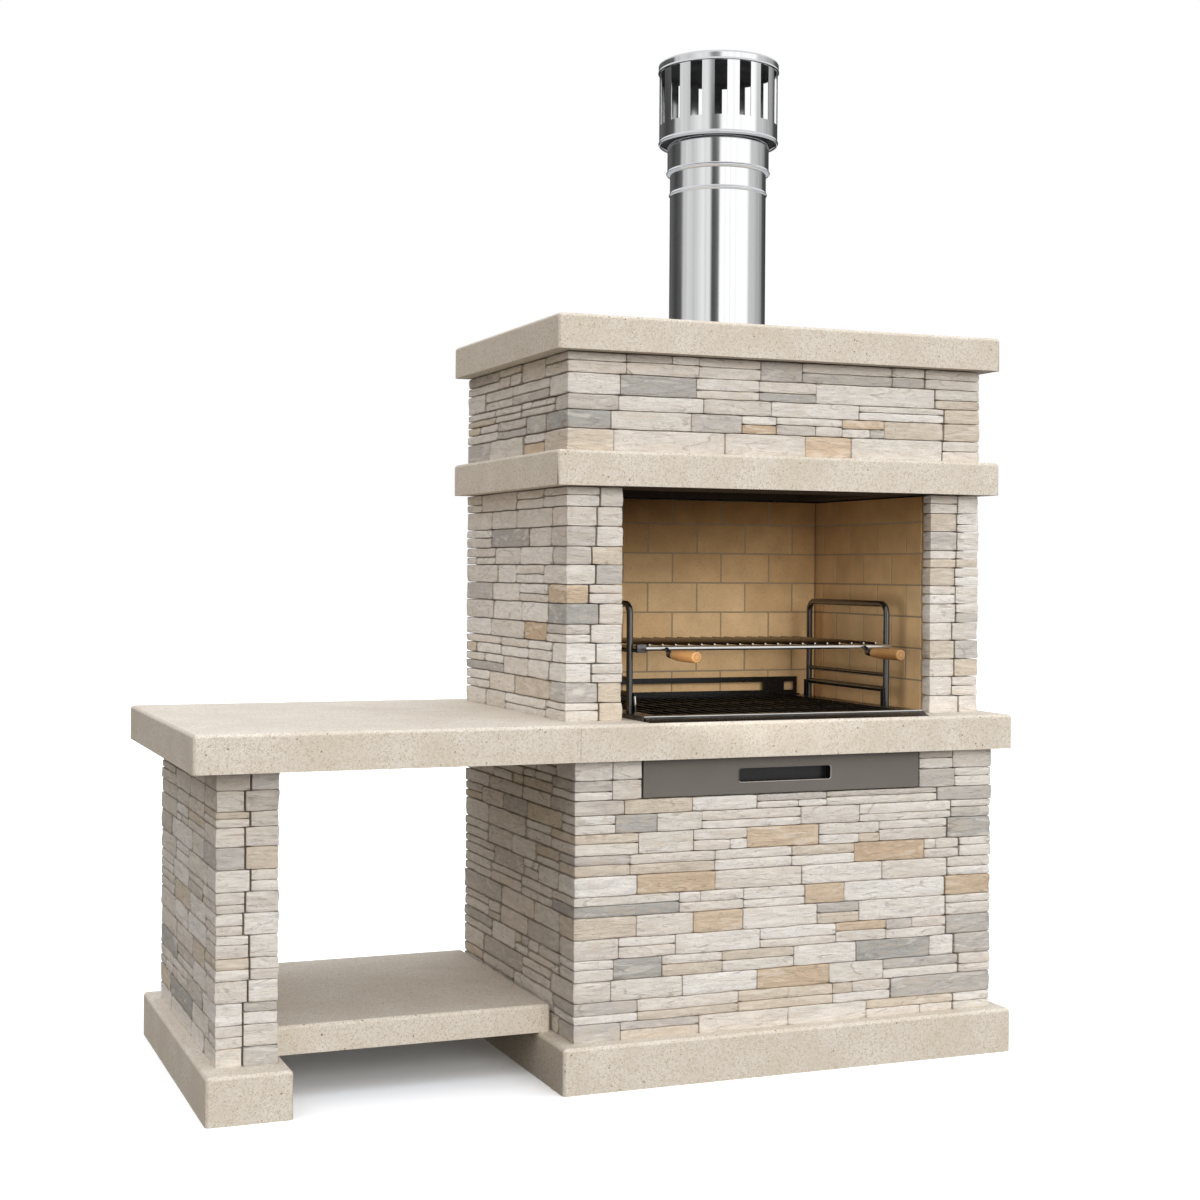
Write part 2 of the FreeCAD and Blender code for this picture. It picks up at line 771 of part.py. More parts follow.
# Cooking grill: a rod frame that rests on the two frames, with its bars laid across front and back rod
grill_left = frame_left + frame_tube / 2 + grill_side_gap
grill_right = frame_right - frame_tube / 2 - grill_side_gap
grill_y0 = frame_y0 - frame_tube / 2 - grill_front_gap - grill_end_rod / 2
grill_y1 = frame_y1 + grill_back_gap
rod_z = rest_top + grill_seat + grill_side_rod / 2
bar_z = rod_z + grill_end_rod / 2 + grill_bar / 2 + weld_gap
handle_z = rod_z - handle_drop


def cooking_grill():
    end_left = grill_left - rod_overhang
    end_right = grill_right + rod_overhang
    front = rod_along_x(end_left, grill_right + front_rod_reach, grill_y0, rod_z, grill_end_rod)
    pieces = [rod_along_x(end_left, end_right, grill_y1, rod_z, grill_end_rod)]
    for x in (grill_left, grill_right):
        pieces.append(rod_along_y(grill_y0, grill_y1, x, rod_z, grill_side_rod))
    lug_left = grill_left - lug_width / 2
    lug_foot = rod_z - lug_height / 2
    pieces.append(block(lug_left, lug_left + lug_width, grill_y0 - lug_depth / 2, grill_y0 + lug_depth / 2,
                        lug_foot, lug_foot + lug_height))
    save("cooking_grill_frame", front.multiFuse(pieces).removeSplitter())
    first = grill_left + grill_bar_margin
    pitch = (grill_right - grill_bar_margin - first) / (grill_bars - 1)
    save("cooking_grill_bars", [rod_along_y(grill_y0 - grill_bar_end, grill_y1 + grill_bar_end,
                                            first + index * pitch, bar_z, grill_bar)
                                for index in range(grill_bars)])


# A handle is a steel tang that runs down into a ferrule, and a turned wooden grip on its end
def handle(side, x):
    root_y = grill_y0 - grill_end_rod / 2 - weld_gap
    grip_y = root_y - tang_length
    root = rod_section(point(x, root_y, rod_z), point(1, 0), point(0, 0, 1), tang_diameter)
    tang = Part.Face(root).extrude(point(0, ferrule_length / 2 - tang_length, -handle_drop))
    ferrule = rod_along_y(grip_y, grip_y + ferrule_length, x, handle_z, ferrule_diameter)
    save(side + "_handle_tang", tang.fuse(ferrule).removeSplitter())
    neck = grip_neck / 2
    belly = grip_diameter / 2
    end = grip_length
    profile = [(0, 0), (neck, 0), (belly, grip_length / 3), (belly, end - grip_round), (belly - grip_round, end),
               (0, end)]
    grip = turned(profile, 0, 0, grip_sides)
    grip.rotate(point(0, 0, 0), point(1, 0, 0), 90)
    grip.translate(point(x, grip_y, handle_z))
    save(side + "_handle_grip", grip)


# Ash drawer: folded front with a finger slot and its pocket, sheet box, angle runners and screws
panel_low = sill + drawer_gap
panel_high = worktop_bottom - drawer_gap
panel_back = front_face + drawer_panel_depth
slot_x = (drawer_left + drawer_right) / 2
slot_z = (panel_low + panel_high) / 2
box_left = bay_left + runner_sheet + runner_gap
box_right = bay_right - runner_sheet - runner_gap
box_low = sill + runner_sheet + runner_seat
box_back = panel_back + drawer_length
screw_z = panel_low + drawer_lip / 2 + drawer_panel_sheet
screw_places = [drawer_left + screw_inset, slot_x - screw_inset, slot_x + screw_inset, drawer_right - screw_inset]


def drawer_front():
    sheet = drawer_panel_sheet
    lip = sheet + drawer_lip
    front = block(drawer_left, drawer_right, front_face, panel_back, panel_low, panel_high)
    front = front.cut(block(drawer_left + sheet, drawer_right - sheet, front_face + sheet, panel_back - sheet,
                            panel_low + sheet, panel_high - sheet))
    front = front.cut(block(drawer_left + lip, drawer_right - lip, panel_back - sheet, panel_back,
                            panel_low + lip, panel_high - lip))
    slot = block(slot_x - slot_width / 2, slot_x + slot_width / 2, front_face, front_face + sheet,
                 slot_z - slot_height / 2, slot_z + slot_height / 2)
    corners = [e for e in slot.Edges if e.BoundBox.YLength > sheet / 2]
    front = front.cut(slot.makeFillet(slot_round, corners))
    hole = screw_diameter + screw_hole_fit
    front = front.cut([rod_along_y(panel_back - sheet, panel_back, x, screw_z, hole) for x in screw_places])
    save("drawer_front", front)
    pocket_front = front_face + sheet
    wide = slot_width / 2 + pocket_wall
    tall = slot_height / 2 + pocket_wall
    pocket = block(slot_x - wide, slot_x + wide, pocket_front, pocket_front + pocket_depth,
                   slot_z - tall, slot_z + tall)
    hollow = block(slot_x - slot_width / 2, slot_x + slot_width / 2, pocket_front,
                   pocket_front + pocket_depth - pocket_wall, slot_z - slot_height / 2, slot_z + slot_height / 2)
    save("drawer_handle_pocket", pocket.cut(hollow))


def drawer_box():
    sheet = drawer_box_sheet
    box_top = box_low + drawer_box_height
    floor = box_low + sheet
    fold = block(box_left, box_right, panel_back, box_back, box_low, box_top)
    fold = fold.cut(block(box_left + sheet, box_right - sheet, panel_back, box_back, floor, box_top))
    side = sheet + weld_gap
    front, back = [block(box_left + side, box_right - side, y, y + sheet, floor + weld_gap, box_top)
                   for y in (panel_back, box_back - sheet)]
    hole = screw_diameter + screw_hole_fit
    front = front.cut([rod_along_y(panel_back, panel_back + sheet, x, screw_z, hole) for x in screw_places])
    save("drawer_box", [fold, front, back])
    screws = []
    for x in screw_places:
        shank = rod_along_y(panel_back - 2 * drawer_panel_sheet, panel_back + sheet, x, screw_z, screw_diameter)
        head = rod_along_y(panel_back + sheet, panel_back + sheet + screw_head_height, x, screw_z, screw_head)
        screws.append(shank.fuse(head).removeSplitter())
    save("drawer_screws", screws)


def drawer_runners():
    start = panel_back + drawer_gap
    end = back_face - wall
    for name, edge, side in (("drawer_left_runner", bay_left, 1), ("drawer_right_runner", bay_right, -1)):
        leg = edge + side * runner_leg
        web = edge + side * runner_sheet
        flat = block(min(edge, leg), max(edge, leg), start, end, sill, sill + runner_sheet)
        upright = block(min(edge, web), max(edge, web), start, end, sill, sill + runner_leg)
        save(name, flat.fuse(upright).removeSplitter())


os.makedirs("parts", exist_ok=True)
plinths()
shelf()
worktop()
lintel_and_cap()
base_walls()
upper_walls()
base_stones()
leg_stones()
hood_stones()
pillar_stones("left_pillar_stones", core_left, firebox_left - stone_depth, to_left, to_right)
pillar_stones("right_pillar_stones", core_right, firebox_right + stone_depth, to_right, to_left)
lining()
flue()
cowl()
fire_tray()
ember_grate()
grill_frame("left_grill_frame", frame_left, 1)
grill_frame("right_grill_frame", frame_right, -1)
ember_guard()
cooking_grill()
handle("left", grill_left + left_handle_inset)
handle("right", grill_right - right_handle_inset)
drawer_front()
drawer_box()
drawer_runners()
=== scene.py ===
# %% [markdown]
# # A stone garden barbecue
# The barbecue stands on two cast plinths. Split ledge stones clad its base, table leg, pillars and
# hood, cast slabs lie between them, firebricks line the hearth, and a steel flue carries the smoke
# away. The measured solids come in first and stay where they are. Every cell after that dresses one
# kind of piece, in much the order in which the real thing is built: cast stone, ledge stone, brick,
# steel and wood.

import json
import math
import random

import bmesh
import bpy
from mathutils import Matrix, Vector, noise


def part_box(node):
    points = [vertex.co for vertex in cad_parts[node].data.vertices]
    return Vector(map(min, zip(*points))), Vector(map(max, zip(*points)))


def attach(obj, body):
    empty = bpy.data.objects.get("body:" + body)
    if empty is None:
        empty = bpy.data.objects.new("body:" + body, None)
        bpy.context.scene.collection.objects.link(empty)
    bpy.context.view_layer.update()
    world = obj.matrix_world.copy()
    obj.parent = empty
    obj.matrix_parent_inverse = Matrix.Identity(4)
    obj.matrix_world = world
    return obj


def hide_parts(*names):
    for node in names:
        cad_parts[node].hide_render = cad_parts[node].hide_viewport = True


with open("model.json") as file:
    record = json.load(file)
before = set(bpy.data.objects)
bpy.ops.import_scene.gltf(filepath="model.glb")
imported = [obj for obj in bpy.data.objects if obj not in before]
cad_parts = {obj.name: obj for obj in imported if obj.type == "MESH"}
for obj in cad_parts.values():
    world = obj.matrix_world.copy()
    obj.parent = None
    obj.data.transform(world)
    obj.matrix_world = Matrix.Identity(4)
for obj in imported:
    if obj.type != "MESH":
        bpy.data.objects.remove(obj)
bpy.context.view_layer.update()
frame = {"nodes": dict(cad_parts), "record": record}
solids = frame["nodes"]
SLOT_OF = {piece["node"]: piece["material_slot"] for piece in frame["record"]["subparts"]}
NODES_WITH = {slot: [node for node in SLOT_OF if SLOT_OF[node] == slot] for slot in SLOT_OF.values()}
print("solids:", len(solids), "finishes:", sorted(NODES_WITH))

# %% [markdown]
# ## The camera
# The photograph was taken from the left front, level, at a little over a metre, with a short telephoto
# lens. A camera that is tilted would let the upright edges lean together. A level camera with a small
# vertical shift keeps them upright, as an architect's camera does.

# %% Camera
EYE = Vector((-1.704, -4.463, 1.192))
TURN = 0.38179
ROLL = 0.00715
LENS = 56.83
SHIFT_DOWN = 0.02486


def set_camera():
    data = bpy.data.cameras.new("camera")
    data.lens = LENS
    data.shift_y = -SHIFT_DOWN
    camera = bpy.data.objects.new("camera", data)
    ahead = Vector((math.sin(TURN), math.cos(TURN), 0))
    level = Vector((math.cos(TURN), -math.sin(TURN), 0))
    right = level * math.cos(ROLL) + Vector((0, 0, math.sin(ROLL)))
    up = right.cross(ahead)
    camera.matrix_world = Matrix.Translation(EYE) @ Matrix((right, up, -ahead)).transposed().to_4x4()
    bpy.context.scene.collection.objects.link(camera)
    bpy.context.scene.camera = camera
    return camera


print("camera at", tuple(round(n, 2) for n in set_camera().location))

# %% [markdown]
# ## Light
# The photograph has the even light of a white studio. A ring of small lamps could give it, but each
# would throw a shadow of its own. One broad sun, low and almost straight in front, lights the whole
# floor alike, and a small lamp reaches into the hearth. Neither shows in polished steel, which mirrors
# the surrounding instead.

# %% Lamps
LAMP_WHITE = (1.0, 0.985, 0.96)
KEY_POWER = 1.44
KEY_HEIGHT = math.radians(15)
KEY_TURN = math.radians(4)
KEY_SPREAD = math.radians(32)
HEARTH_POWER = 0.50
HEARTH_LAMP_SIZE = 0.35
HEARTH_SPREAD = math.radians(80)
HEARTH_LAMP_AT = Vector((0.10, -0.56, 1.02))
HEARTH_LAMP_TO = Vector((0.83, -0.03, 1.05))


def hang_lamp(name, kind, power, place, way):
    data = bpy.data.lights.new(name, kind)
    data.energy = power
    data.color = LAMP_WHITE
    lamp = bpy.data.objects.new(name, data)
    lamp.matrix_world = Matrix.Translation(place) @ way.to_track_quat("-Z", "Y").to_matrix().to_4x4()
    lamp.visible_camera = False
    lamp.visible_glossy = False
    bpy.context.scene.collection.objects.link(lamp)
    return data


key_way = Vector((-math.sin(KEY_TURN), math.cos(KEY_TURN), -math.tan(KEY_HEIGHT)))
key_lamp = hang_lamp("key lamp", "SUN", KEY_POWER, Vector(), key_way)
key_lamp.angle = KEY_SPREAD
hearth_lamp = hang_lamp("hearth lamp", "AREA", HEARTH_POWER, HEARTH_LAMP_AT, HEARTH_LAMP_TO - HEARTH_LAMP_AT)
hearth_lamp.size = HEARTH_LAMP_SIZE
hearth_lamp.spread = HEARTH_SPREAD

# %% [markdown]
# ## Node helpers
# A finish is a tree of nodes. In the shader editor each node is placed and wired by hand, which is hard
# to read back later. Here `add` places a node and `fill` gives a socket a value or a link, so that a
# finish reads like a recipe from top to bottom. The other helpers are the few nodes that every recipe
# needs.

# %% Node helpers


def fill(tree, socket, value):
    if isinstance(value, bpy.types.NodeSocket):
        tree.links.new(value, socket)
    else:
        socket.default_value = value


def set_sockets(tree, node, **inputs):
    for key, value in inputs.items():
        fill(tree, node.inputs[key.replace("_", " ")], value)
    return node


def add(tree, kind, settings=None, **inputs):
    made = tree.nodes.new("ShaderNode" + kind)
    for key, value in (settings or {}).items():
        setattr(made, key, value)
    return set_sockets(tree, made, **inputs)


def reckon(tree, operation, *values):
    """A Math node that takes its values in this order."""
    made = add(tree, "Math", {"operation": operation})
    for socket, value in zip(made.inputs, values):
        fill(tree, socket, value)
    return made.outputs[0]


def rescale(tree, value, start, end, low=0.0, high=1.0):
    """Goes from low to high while the value goes from start to end."""
    made = add(tree, "MapRange", Value=value, From_Min=start, From_Max=end, To_Min=low, To_Max=high)
    return made.outputs[0]


def mix(tree, factor, first, second, mode="MIX"):
    """A Mix node for colours: sockets 0, 6 and 7 take the factor and both colours, and 2 gives the result."""
    made = add(tree, "Mix", {"data_type": "RGBA", "blend_type": mode})
    for index, value in ((0, factor), (6, first), (7, second)):
        fill(tree, made.inputs[index], value)
    return made.outputs[2]


def ramp(tree, value, *stops):
    """A colour ramp. Each stop is a place and a shade, which is a colour or a grey."""
    made = add(tree, "ValToRGB")
    fill(tree, made.inputs[0], value)
    points = made.color_ramp.elements
    for index, (place, shade) in enumerate(stops):
        point = points[index] if index < 2 else points.new(place)
        point.position = place
        point.color = shade if isinstance(shade, tuple) else (shade, shade, shade, 1)
    return made.outputs[0]


def blend(tree, factor, first, second):
    made = add(tree, "MixShader")
    for socket, value in zip(made.inputs, (factor, first.outputs[0], second.outputs[0])):
        fill(tree, socket, value)
    return made


print("node helpers: add, fill, reckon, rescale, mix, ramp, blend")

# %% [markdown]
# ## The surrounding
# Polished steel only looks like steel when it has something dark to mirror. A picture of a studio could
# be wrapped round the scene, but strips of light and dark are easier to set. Glossy rays see them all
# round, as a studio hangs white screens and black flags, under a pale ceiling. All other light is
# nearly white, stronger and cooler from above, weaker and warmer from the left, so the strips colour
# nothing but steel.

# %% Surrounding
WHITE = (1, 1, 1, 1)
SOFT_LIGHT = (0.66, 1.53)
SIDE_SHADE = 0.19
LEFT_TINT = (1.0, 0.88, 0.74, 1)
LEFT_REACH = (0.0, -0.9)
TOP_TINT = (0.95, 1.0, 1.08, 1)
TOP_REACH = (0.2, 0.8)
CEILING = (0.85, 0.86, 0.88, 1)
CEILING_REACH = (0.27, 0.36)
STEEL_STRIPS = ((0.000, 0.72), (0.020, 0.66), (0.050, 0.90), (0.062, 1.04), (0.130, 1.00), (0.142, 0.08),
                (0.165, 0.12), (0.186, 0.22), (0.196, 1.42), (0.384, 1.36), (0.405, 0.80), (0.475, 0.58),
                (0.530, 0.40), (0.556, 0.09), (0.660, 0.05), (0.780, 0.14), (0.850, 0.05), (0.890, 0.10),
                (0.914, 0.06), (0.925, 0.62), (0.960, 0.80))


def steel_screens(tree, way):
    """What steel mirrors: strips by the way round, uneven as hung cloth is, and the ceiling above them."""
    turn = rescale(tree, reckon(tree, "ARCTAN2", way["Y"], way["X"]), -math.pi, math.pi)
    folds = add(tree, "TexNoise", {"noise_dimensions": "1D"}, W=turn, Scale=55.0, Detail=3.0).outputs[0]
    uneven = ramp(tree, folds, (0.3, 0.8), (0.7, 1.1))
    screens = mix(tree, 1.0, ramp(tree, turn, *STEEL_STRIPS), uneven, "MULTIPLY")
    return add(tree, "Background", Color=mix(tree, rescale(tree, way["Z"], *CEILING_REACH), screens, CEILING))


def soft_light(tree, way):
    """What everything else is lit by."""
    over = rescale(tree, way["Z"], 0.0, 1.0, *SOFT_LIGHT)
    beside = rescale(tree, way["X"], -1.0, 1.0, 1 - SIDE_SHADE, 1 + SIDE_SHADE)
    tint = mix(tree, rescale(tree, way["X"], *LEFT_REACH), WHITE, LEFT_TINT)
    tint = mix(tree, rescale(tree, way["Z"], *TOP_REACH), tint, TOP_TINT)
    return add(tree, "Background", Color=tint, Strength=reckon(tree, "MULTIPLY", over, beside))


def make_surrounding():
    world = bpy.data.worlds.new("studio")
    world.use_nodes = True
    bpy.context.scene.world = world
    bpy.context.scene.view_settings.view_transform = "Standard"
    tree = world.node_tree
    way = add(tree, "SeparateXYZ", Vector=add(tree, "TexCoord").outputs["Generated"]).outputs
    ray = add(tree, "LightPath").outputs
    lit = blend(tree, ray["Is Glossy Ray"], soft_light(tree, way), steel_screens(tree, way))
    seen = blend(tree, ray["Is Camera Ray"], lit, add(tree, "Background", Color=WHITE))
    fill(tree, tree.nodes["World Output"].inputs["Surface"], seen.outputs[0])


make_surrounding()
print("surrounding:", len(STEEL_STRIPS), "strips for steel to mirror")

# %% [markdown]
# ## The floor
# The barbecue stands on a bright studio floor, yet its slabs are shaded from below. A floor that is
# white to every ray would light them up. So one wide sheet has three tones: white to the eye, grey
# where steel mirrors it, and dark to the light that bounces from it. It belongs to the stage and not
# to the barbecue.

# %% Floor
FLOOR_SIZE = 60.0
FLOOR_SEEN = (1.32, 1.32, 1.32, 1)
FLOOR_BOUNCE = (0.09, 0.083, 0.073, 1)
FLOOR_MIRRORED = (0.45, 0.45, 0.45, 1)


def new_material(name):
    made = bpy.data.materials.new(name)
    made.use_nodes = True
    return made, made.node_tree, made.node_tree.nodes["Principled BSDF"]


def make_floor():
    bm = bmesh.new()
    bmesh.ops.create_grid(bm, x_segments=1, y_segments=1, size=FLOOR_SIZE / 2)
    mesh = bpy.data.meshes.new("floor")
    bm.to_mesh(mesh)
    bm.free()
    floor = bpy.data.objects.new("floor", mesh)
    bpy.context.scene.collection.objects.link(floor)
    pale, tree, shader = new_material("studio floor")
    tree.nodes.remove(shader)
    ray = add(tree, "LightPath").outputs
    bounced = mix(tree, ray["Is Glossy Ray"], FLOOR_BOUNCE, FLOOR_MIRRORED)
    sheet = add(tree, "BsdfDiffuse", Color=mix(tree, ray["Is Camera Ray"], bounced, FLOOR_SEEN))
    fill(tree, tree.nodes["Material Output"].inputs["Surface"], sheet.outputs[0])
    mesh.materials.append(pale)


make_floor()
print("floor:", FLOOR_SIZE, "m")

# %% [markdown]
# ## Shared effects
# Cast stone, ledge stone, brick and concrete all have grain and specks, only in other sizes. The nodes
# for them could be copied into each finish, and a change would then be needed in four places. Two node
# groups hold the effects once instead, and each finish sets its own scale.

# %% Effect groups
FINER = 7.0
CLOUD_RISE = 1.6


def new_group(name, values, outputs):
    """An empty group that takes a place and some values, and gives out masks and heights."""
    group = bpy.data.node_groups.new(name, "ShaderNodeTree")
    group.interface.new_socket("Vector", in_out="INPUT", socket_type="NodeSocketVector")
    for label, value in values.items():
        group.interface.new_socket(label, in_out="INPUT", socket_type="NodeSocketFloat").default_value = value
    for label in outputs:
        group.interface.new_socket(label, in_out="OUTPUT", socket_type="NodeSocketFloat")
    return group, group.nodes.new("NodeGroupInput").outputs, group.nodes.new("NodeGroupOutput").inputs


def grain_group():
    group, given, out = new_group("Stone grain", {"Scale": 40.0}, ("Clouds", "Grain", "Height"))
    place, scale = given["Vector"], given["Scale"]
    clouds = add(group, "TexNoise", Vector=place, Scale=scale, Detail=3.0).outputs[0]
    finer = reckon(group, "MULTIPLY", scale, FINER)
    grain = add(group, "TexNoise", Vector=place, Scale=finer, Detail=4.0, Roughness=0.6).outputs[0]
    fill(group, out["Clouds"], clouds)
    fill(group, out["Grain"], grain)
    fill(group, out["Height"], reckon(group, "MULTIPLY_ADD", clouds, CLOUD_RISE, grain))
    return group


def speck_group():
    group, given, out = new_group("Specks", {"Scale": 300.0, "Amount": 0.3}, ("Mask",))
    cells = add(group, "TexVoronoi", Vector=given["Vector"], Scale=given["Scale"], Randomness=1.0).outputs
    chance = add(group, "SeparateColor", Color=cells["Color"]).outputs[0]
    kept = reckon(group, "LESS_THAN", chance, given["Amount"])
    dot = ramp(group, cells["Distance"], (0.22, 1.0), (0.42, 0.0))
    fill(group, out["Mask"], reckon(group, "MULTIPLY", kept, dot))
    return group


def effect(tree, group, **inputs):
    return add(tree, "Group", {"node_tree": group}, **inputs).outputs


GRAIN = grain_group()
SPECKS = speck_group()
print("effects:", GRAIN.name, SPECKS.name)

# %% [markdown]
# ## Cast stone
# Plinths, shelf, worktop, lintel and cap are cast from crushed stone and white cement. Seen close, the
# face is cream with short brown grains and a few dark ones. An even colour would look like plastic, and
# a photograph of stone would repeat over the long slabs. Noise on Object coordinates never repeats:
# clouds for the tone, crooked noise for the grains, and specks. A second version of the finish paints
# shade: a dark brown where the lintel lies in shade below and in its throat.

# %% Cast stone finish
MM = 0.001
# Width over which the painted shade of the lintel fades in.
SHADE_BLEND = 0.05


def tone(red, green, blue):
    """A colour as the eye reads it, 0 to 255, turned into linear light."""
    shares = [n / 255 for n in (red, green, blue)]
    return tuple(n / 12.92 if n <= 0.04045 else ((n + 0.055) / 1.055) ** 2.4 for n in shares) + (1.0,)


CAST_DARK = tone(217, 207, 192)
CAST_LIGHT = tone(227, 219, 207)
GRAIN_BROWN = tone(202, 187, 166)
SPECK_BROWN = tone(176, 156, 130)
SPECK_DARK = tone(146, 126, 104)
# Painted shade for the lintel's underside and throat.
UNDERSIDE_SHADE_BROWN = tone(58, 49, 40)


def object_place(tree):
    return add(tree, "TexCoord").outputs["Object"]


def bump(tree, height, strength, depth, over=None, inward=False):
    """The normal of a Bump node, laid over another normal if one is given."""
    made = add(tree, "Bump", {"invert": inward}, Height=height, Strength=strength, Distance=depth)
    if over is not None:
        fill(tree, made.inputs["Normal"], over)
    return made.outputs[0]


# Where the painted shade goes: over the hearth, behind the lintel's front.
def painted_shade_mask(tree, place, front):
    """1 over the hearth, and 0 before and beside it."""
    spot = add(tree, "SeparateXYZ", Vector=place).outputs
    low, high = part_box("back_firebricks")
    mask = WHITE
    for way, bright_end, dark_end in (("Y", front, front + SHADE_BLEND), ("X", low.x - SHADE_BLEND, low.x),
                              ("X", high.x + SHADE_BLEND, high.x)):
        mask = mix(tree, 1.0, mask, rescale(tree, spot[way], bright_end, dark_end), "MULTIPLY")
    return mask


def cast_stone(name, shaded_from=None):
    made, tree, shader = new_material(name)
    place = object_place(tree)
    grain = effect(tree, GRAIN, Vector=place, Scale=9.0)
    crooked = add(tree, "TexNoise", Vector=place, Scale=230.0, Detail=1.5, Distortion=1.5).outputs[0]
    grains = ramp(tree, crooked, (0.40, 1.0), (0.50, 0.0))
    brown = effect(tree, SPECKS, Vector=place, Scale=230.0, Amount=0.08)["Mask"]
    dark = effect(tree, SPECKS, Vector=place, Scale=150.0, Amount=0.012)["Mask"]
    colour = mix(tree, ramp(tree, grain["Clouds"], (0.35, 0.0), (0.68, 1.0)), CAST_DARK, CAST_LIGHT)
    for mask, shade in ((grains, GRAIN_BROWN), (brown, SPECK_BROWN), (dark, SPECK_DARK)):
        colour = mix(tree, mask, colour, shade)
    # Painted shade: a dark brown where the lintel lies in shade.
    if shaded_from is not None:
        colour = mix(tree, painted_shade_mask(tree, place, shaded_from), colour, UNDERSIDE_SHADE_BROWN)
    set_sockets(tree, shader, Base_Color=colour, Normal=bump(tree, grains, 0.35, 1.2 * MM),
                Roughness=ramp(tree, grain["Grain"], (0.3, 0.58), (0.7, 0.78)), Specular_IOR_Level=0.3)
    return made


CAST_STONE = cast_stone("cast stone")
# The shaded version paints the shade under and inside the lintel.
SHADED_STONE = cast_stone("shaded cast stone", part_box("lintel_slab")[0].y - SHADE_BLEND / 2)
print("finishes:", CAST_STONE.name, "and", SHADED_STONE.name)

# %% [markdown]
# ## From a solid to a piece
# A solid arrives as loose triangles with knife edges. No real edge is that sharp: even a narrow round
# catches a line of light. A Bevel modifier could round every edge over one angle, but some pieces need
# chosen edges only. So a copy of the mesh is joined up, edges are chosen by how far they turn, and the
# bevel operator rounds them. Then the piece is hung on the body that carries it, and the solid it stands
# in for is hidden.

# %% Piece helpers
SAME_SPOT = 1e-6
FLAT_TURN = math.radians(1)
SHARP_TURN = 60


def merged_copy(node):
    """A copy of a solid's mesh with its corners joined and its flat faces whole again."""
    bm = bmesh.new()
    bm.from_mesh(solids[node].data)
    bmesh.ops.remove_doubles(bm, verts=bm.verts, dist=SAME_SPOT)
    bmesh.ops.dissolve_limit(bm, angle_limit=FLAT_TURN, verts=bm.verts, edges=bm.edges)
    return bm


def edges_turning(bm, least=SHARP_TURN, most=180):
    low, high = math.radians(least), math.radians(most)
    return [e for e in bm.edges if e.is_manifold and low < e.calc_face_angle() < high]


def soften(bm, edges, width, segments=2):
    bmesh.ops.bevel(bm, geom=edges, offset=width, offset_type="OFFSET", affect="EDGES", segments=segments,
                    profile=0.5, material=-1, clamp_overlap=True)


def finish_piece(name, bm, material, slot, body="masonry", replaces=(), smooth=40, flat_sides=False):
    for face in bm.faces:
        face.smooth = True
    mesh = bpy.data.meshes.new(name)
    bm.to_mesh(mesh)
    bm.free()
    mesh.set_sharp_from_angle(angle=math.radians(smooth))
    mesh.materials.append(material)
    piece = bpy.data.objects.new(name, mesh)
    bpy.context.scene.collection.objects.link(piece)
    if flat_sides:
        piece.modifiers.new("flat sides", "WEIGHTED_NORMAL").keep_sharp = True
    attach(piece, body)
    if replaces:
        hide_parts(*replaces)
    return piece


print("piece helpers: edges that turn more than", SHARP_TURN, "degrees count as sharp")

# %% [markdown]
# ## Slabs
# The solids of the slabs have the broken edges of the real ones as flat chamfers. In a mould such an
# edge comes out slightly round, so both sides of each chamfer are bevelled once more. Modelling the
# round itself in the solid would cost faces that only a close look needs.

# %% Slabs
SLAB_ROUND = 3.2 * MM
CHAMFER_TURN = (30, 60)

slabs = {}
for node in NODES_WITH["cast_stone"]:
    slab = merged_copy(node)
    soften(slab, edges_turning(slab, *CHAMFER_TURN), SLAB_ROUND)
    slabs[node] = finish_piece(node + "_stone", slab, CAST_STONE, "cast_stone", replaces=[node],
                               flat_sides=True)
print("slabs:", list(slabs))

# %% [markdown]
# ## Painted shade on the lintel
# The lintel lies in shade from below and in its throat, while its front is lit. That shade is painted as a
# dark brown finish. Painting the whole slab by a gradient would darken the front as well. So the shaded
# finish goes on those faces only: the ones that look down, and the upright ones that lie well inside the
# slab.

# %% Lintel painted shade
LOOKS_DOWN = -0.9
UPRIGHT = 0.5

lintel = slabs["lintel_slab"].data
lintel.materials.append(SHADED_STONE)
low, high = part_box("lintel_slab")
# Faces in shade under and inside the lintel get the painted shade.
for face in lintel.polygons:
    inset = min(*(face.center - low)[:2], *(high - face.center)[:2])
    in_throat = abs(face.normal.z) < UPRIGHT and inset > SHADE_BLEND
    face.material_index = int(face.normal.z < LOOKS_DOWN or in_throat)
print("sooty faces:", sum(face.material_index for face in lintel.polygons), "of", len(lintel.polygons))

# %% [markdown]
# ## The seam in the worktop
# Table and hearth slab meet in a seam that is filled flush, and only a hairline shows. Left alone, the
# chamfers of both slabs would form a groove there. Two strips fill it, one on each side, and their
# small bevels are the hairline. Each is a box with the same edges as the slabs, so the front view has
# no step.

# %% Seam strips
SLAB_ARRIS = 6 * MM
HAIRLINE = 0.5 * MM
NEAR = 0.1 * MM


def add_box(bm, low, high):
    low, high = Vector(low), Vector(high)
    size = Matrix.Diagonal((*(high - low), 1))
    bmesh.ops.create_cube(bm, size=1, matrix=Matrix.Translation((low + high) / 2) @ size)


def fill_seam():
    low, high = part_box("hearth_slab")
    for way in (-1, 1):
        ends = sorted((low.x, low.x + way * (SLAB_ARRIS + SLAB_ROUND)))
        strip = bmesh.new()
        add_box(strip, (ends[0], low.y, low.z), (ends[1], high.y, high.z))
        upper = [e for e in strip.edges
                 if all(v.co.z > high.z - MM for v in e.verts) and e.verts[0].co.y == e.verts[1].co.y]
        soften(strip, upper, SLAB_ARRIS, 1)
        soften(strip, edges_turning(strip, *CHAMFER_TURN), SLAB_ROUND)
        at_seam = [e for e in strip.edges if all(abs(v.co.x - low.x) < NEAR for v in e.verts)]
        soften(strip, at_seam, HAIRLINE, 1)
        finish_piece("seam_strip", strip, CAST_STONE, "cast_stone", flat_sides=True)


fill_seam()
print("seam: two strips, hairline", HAIRLINE)
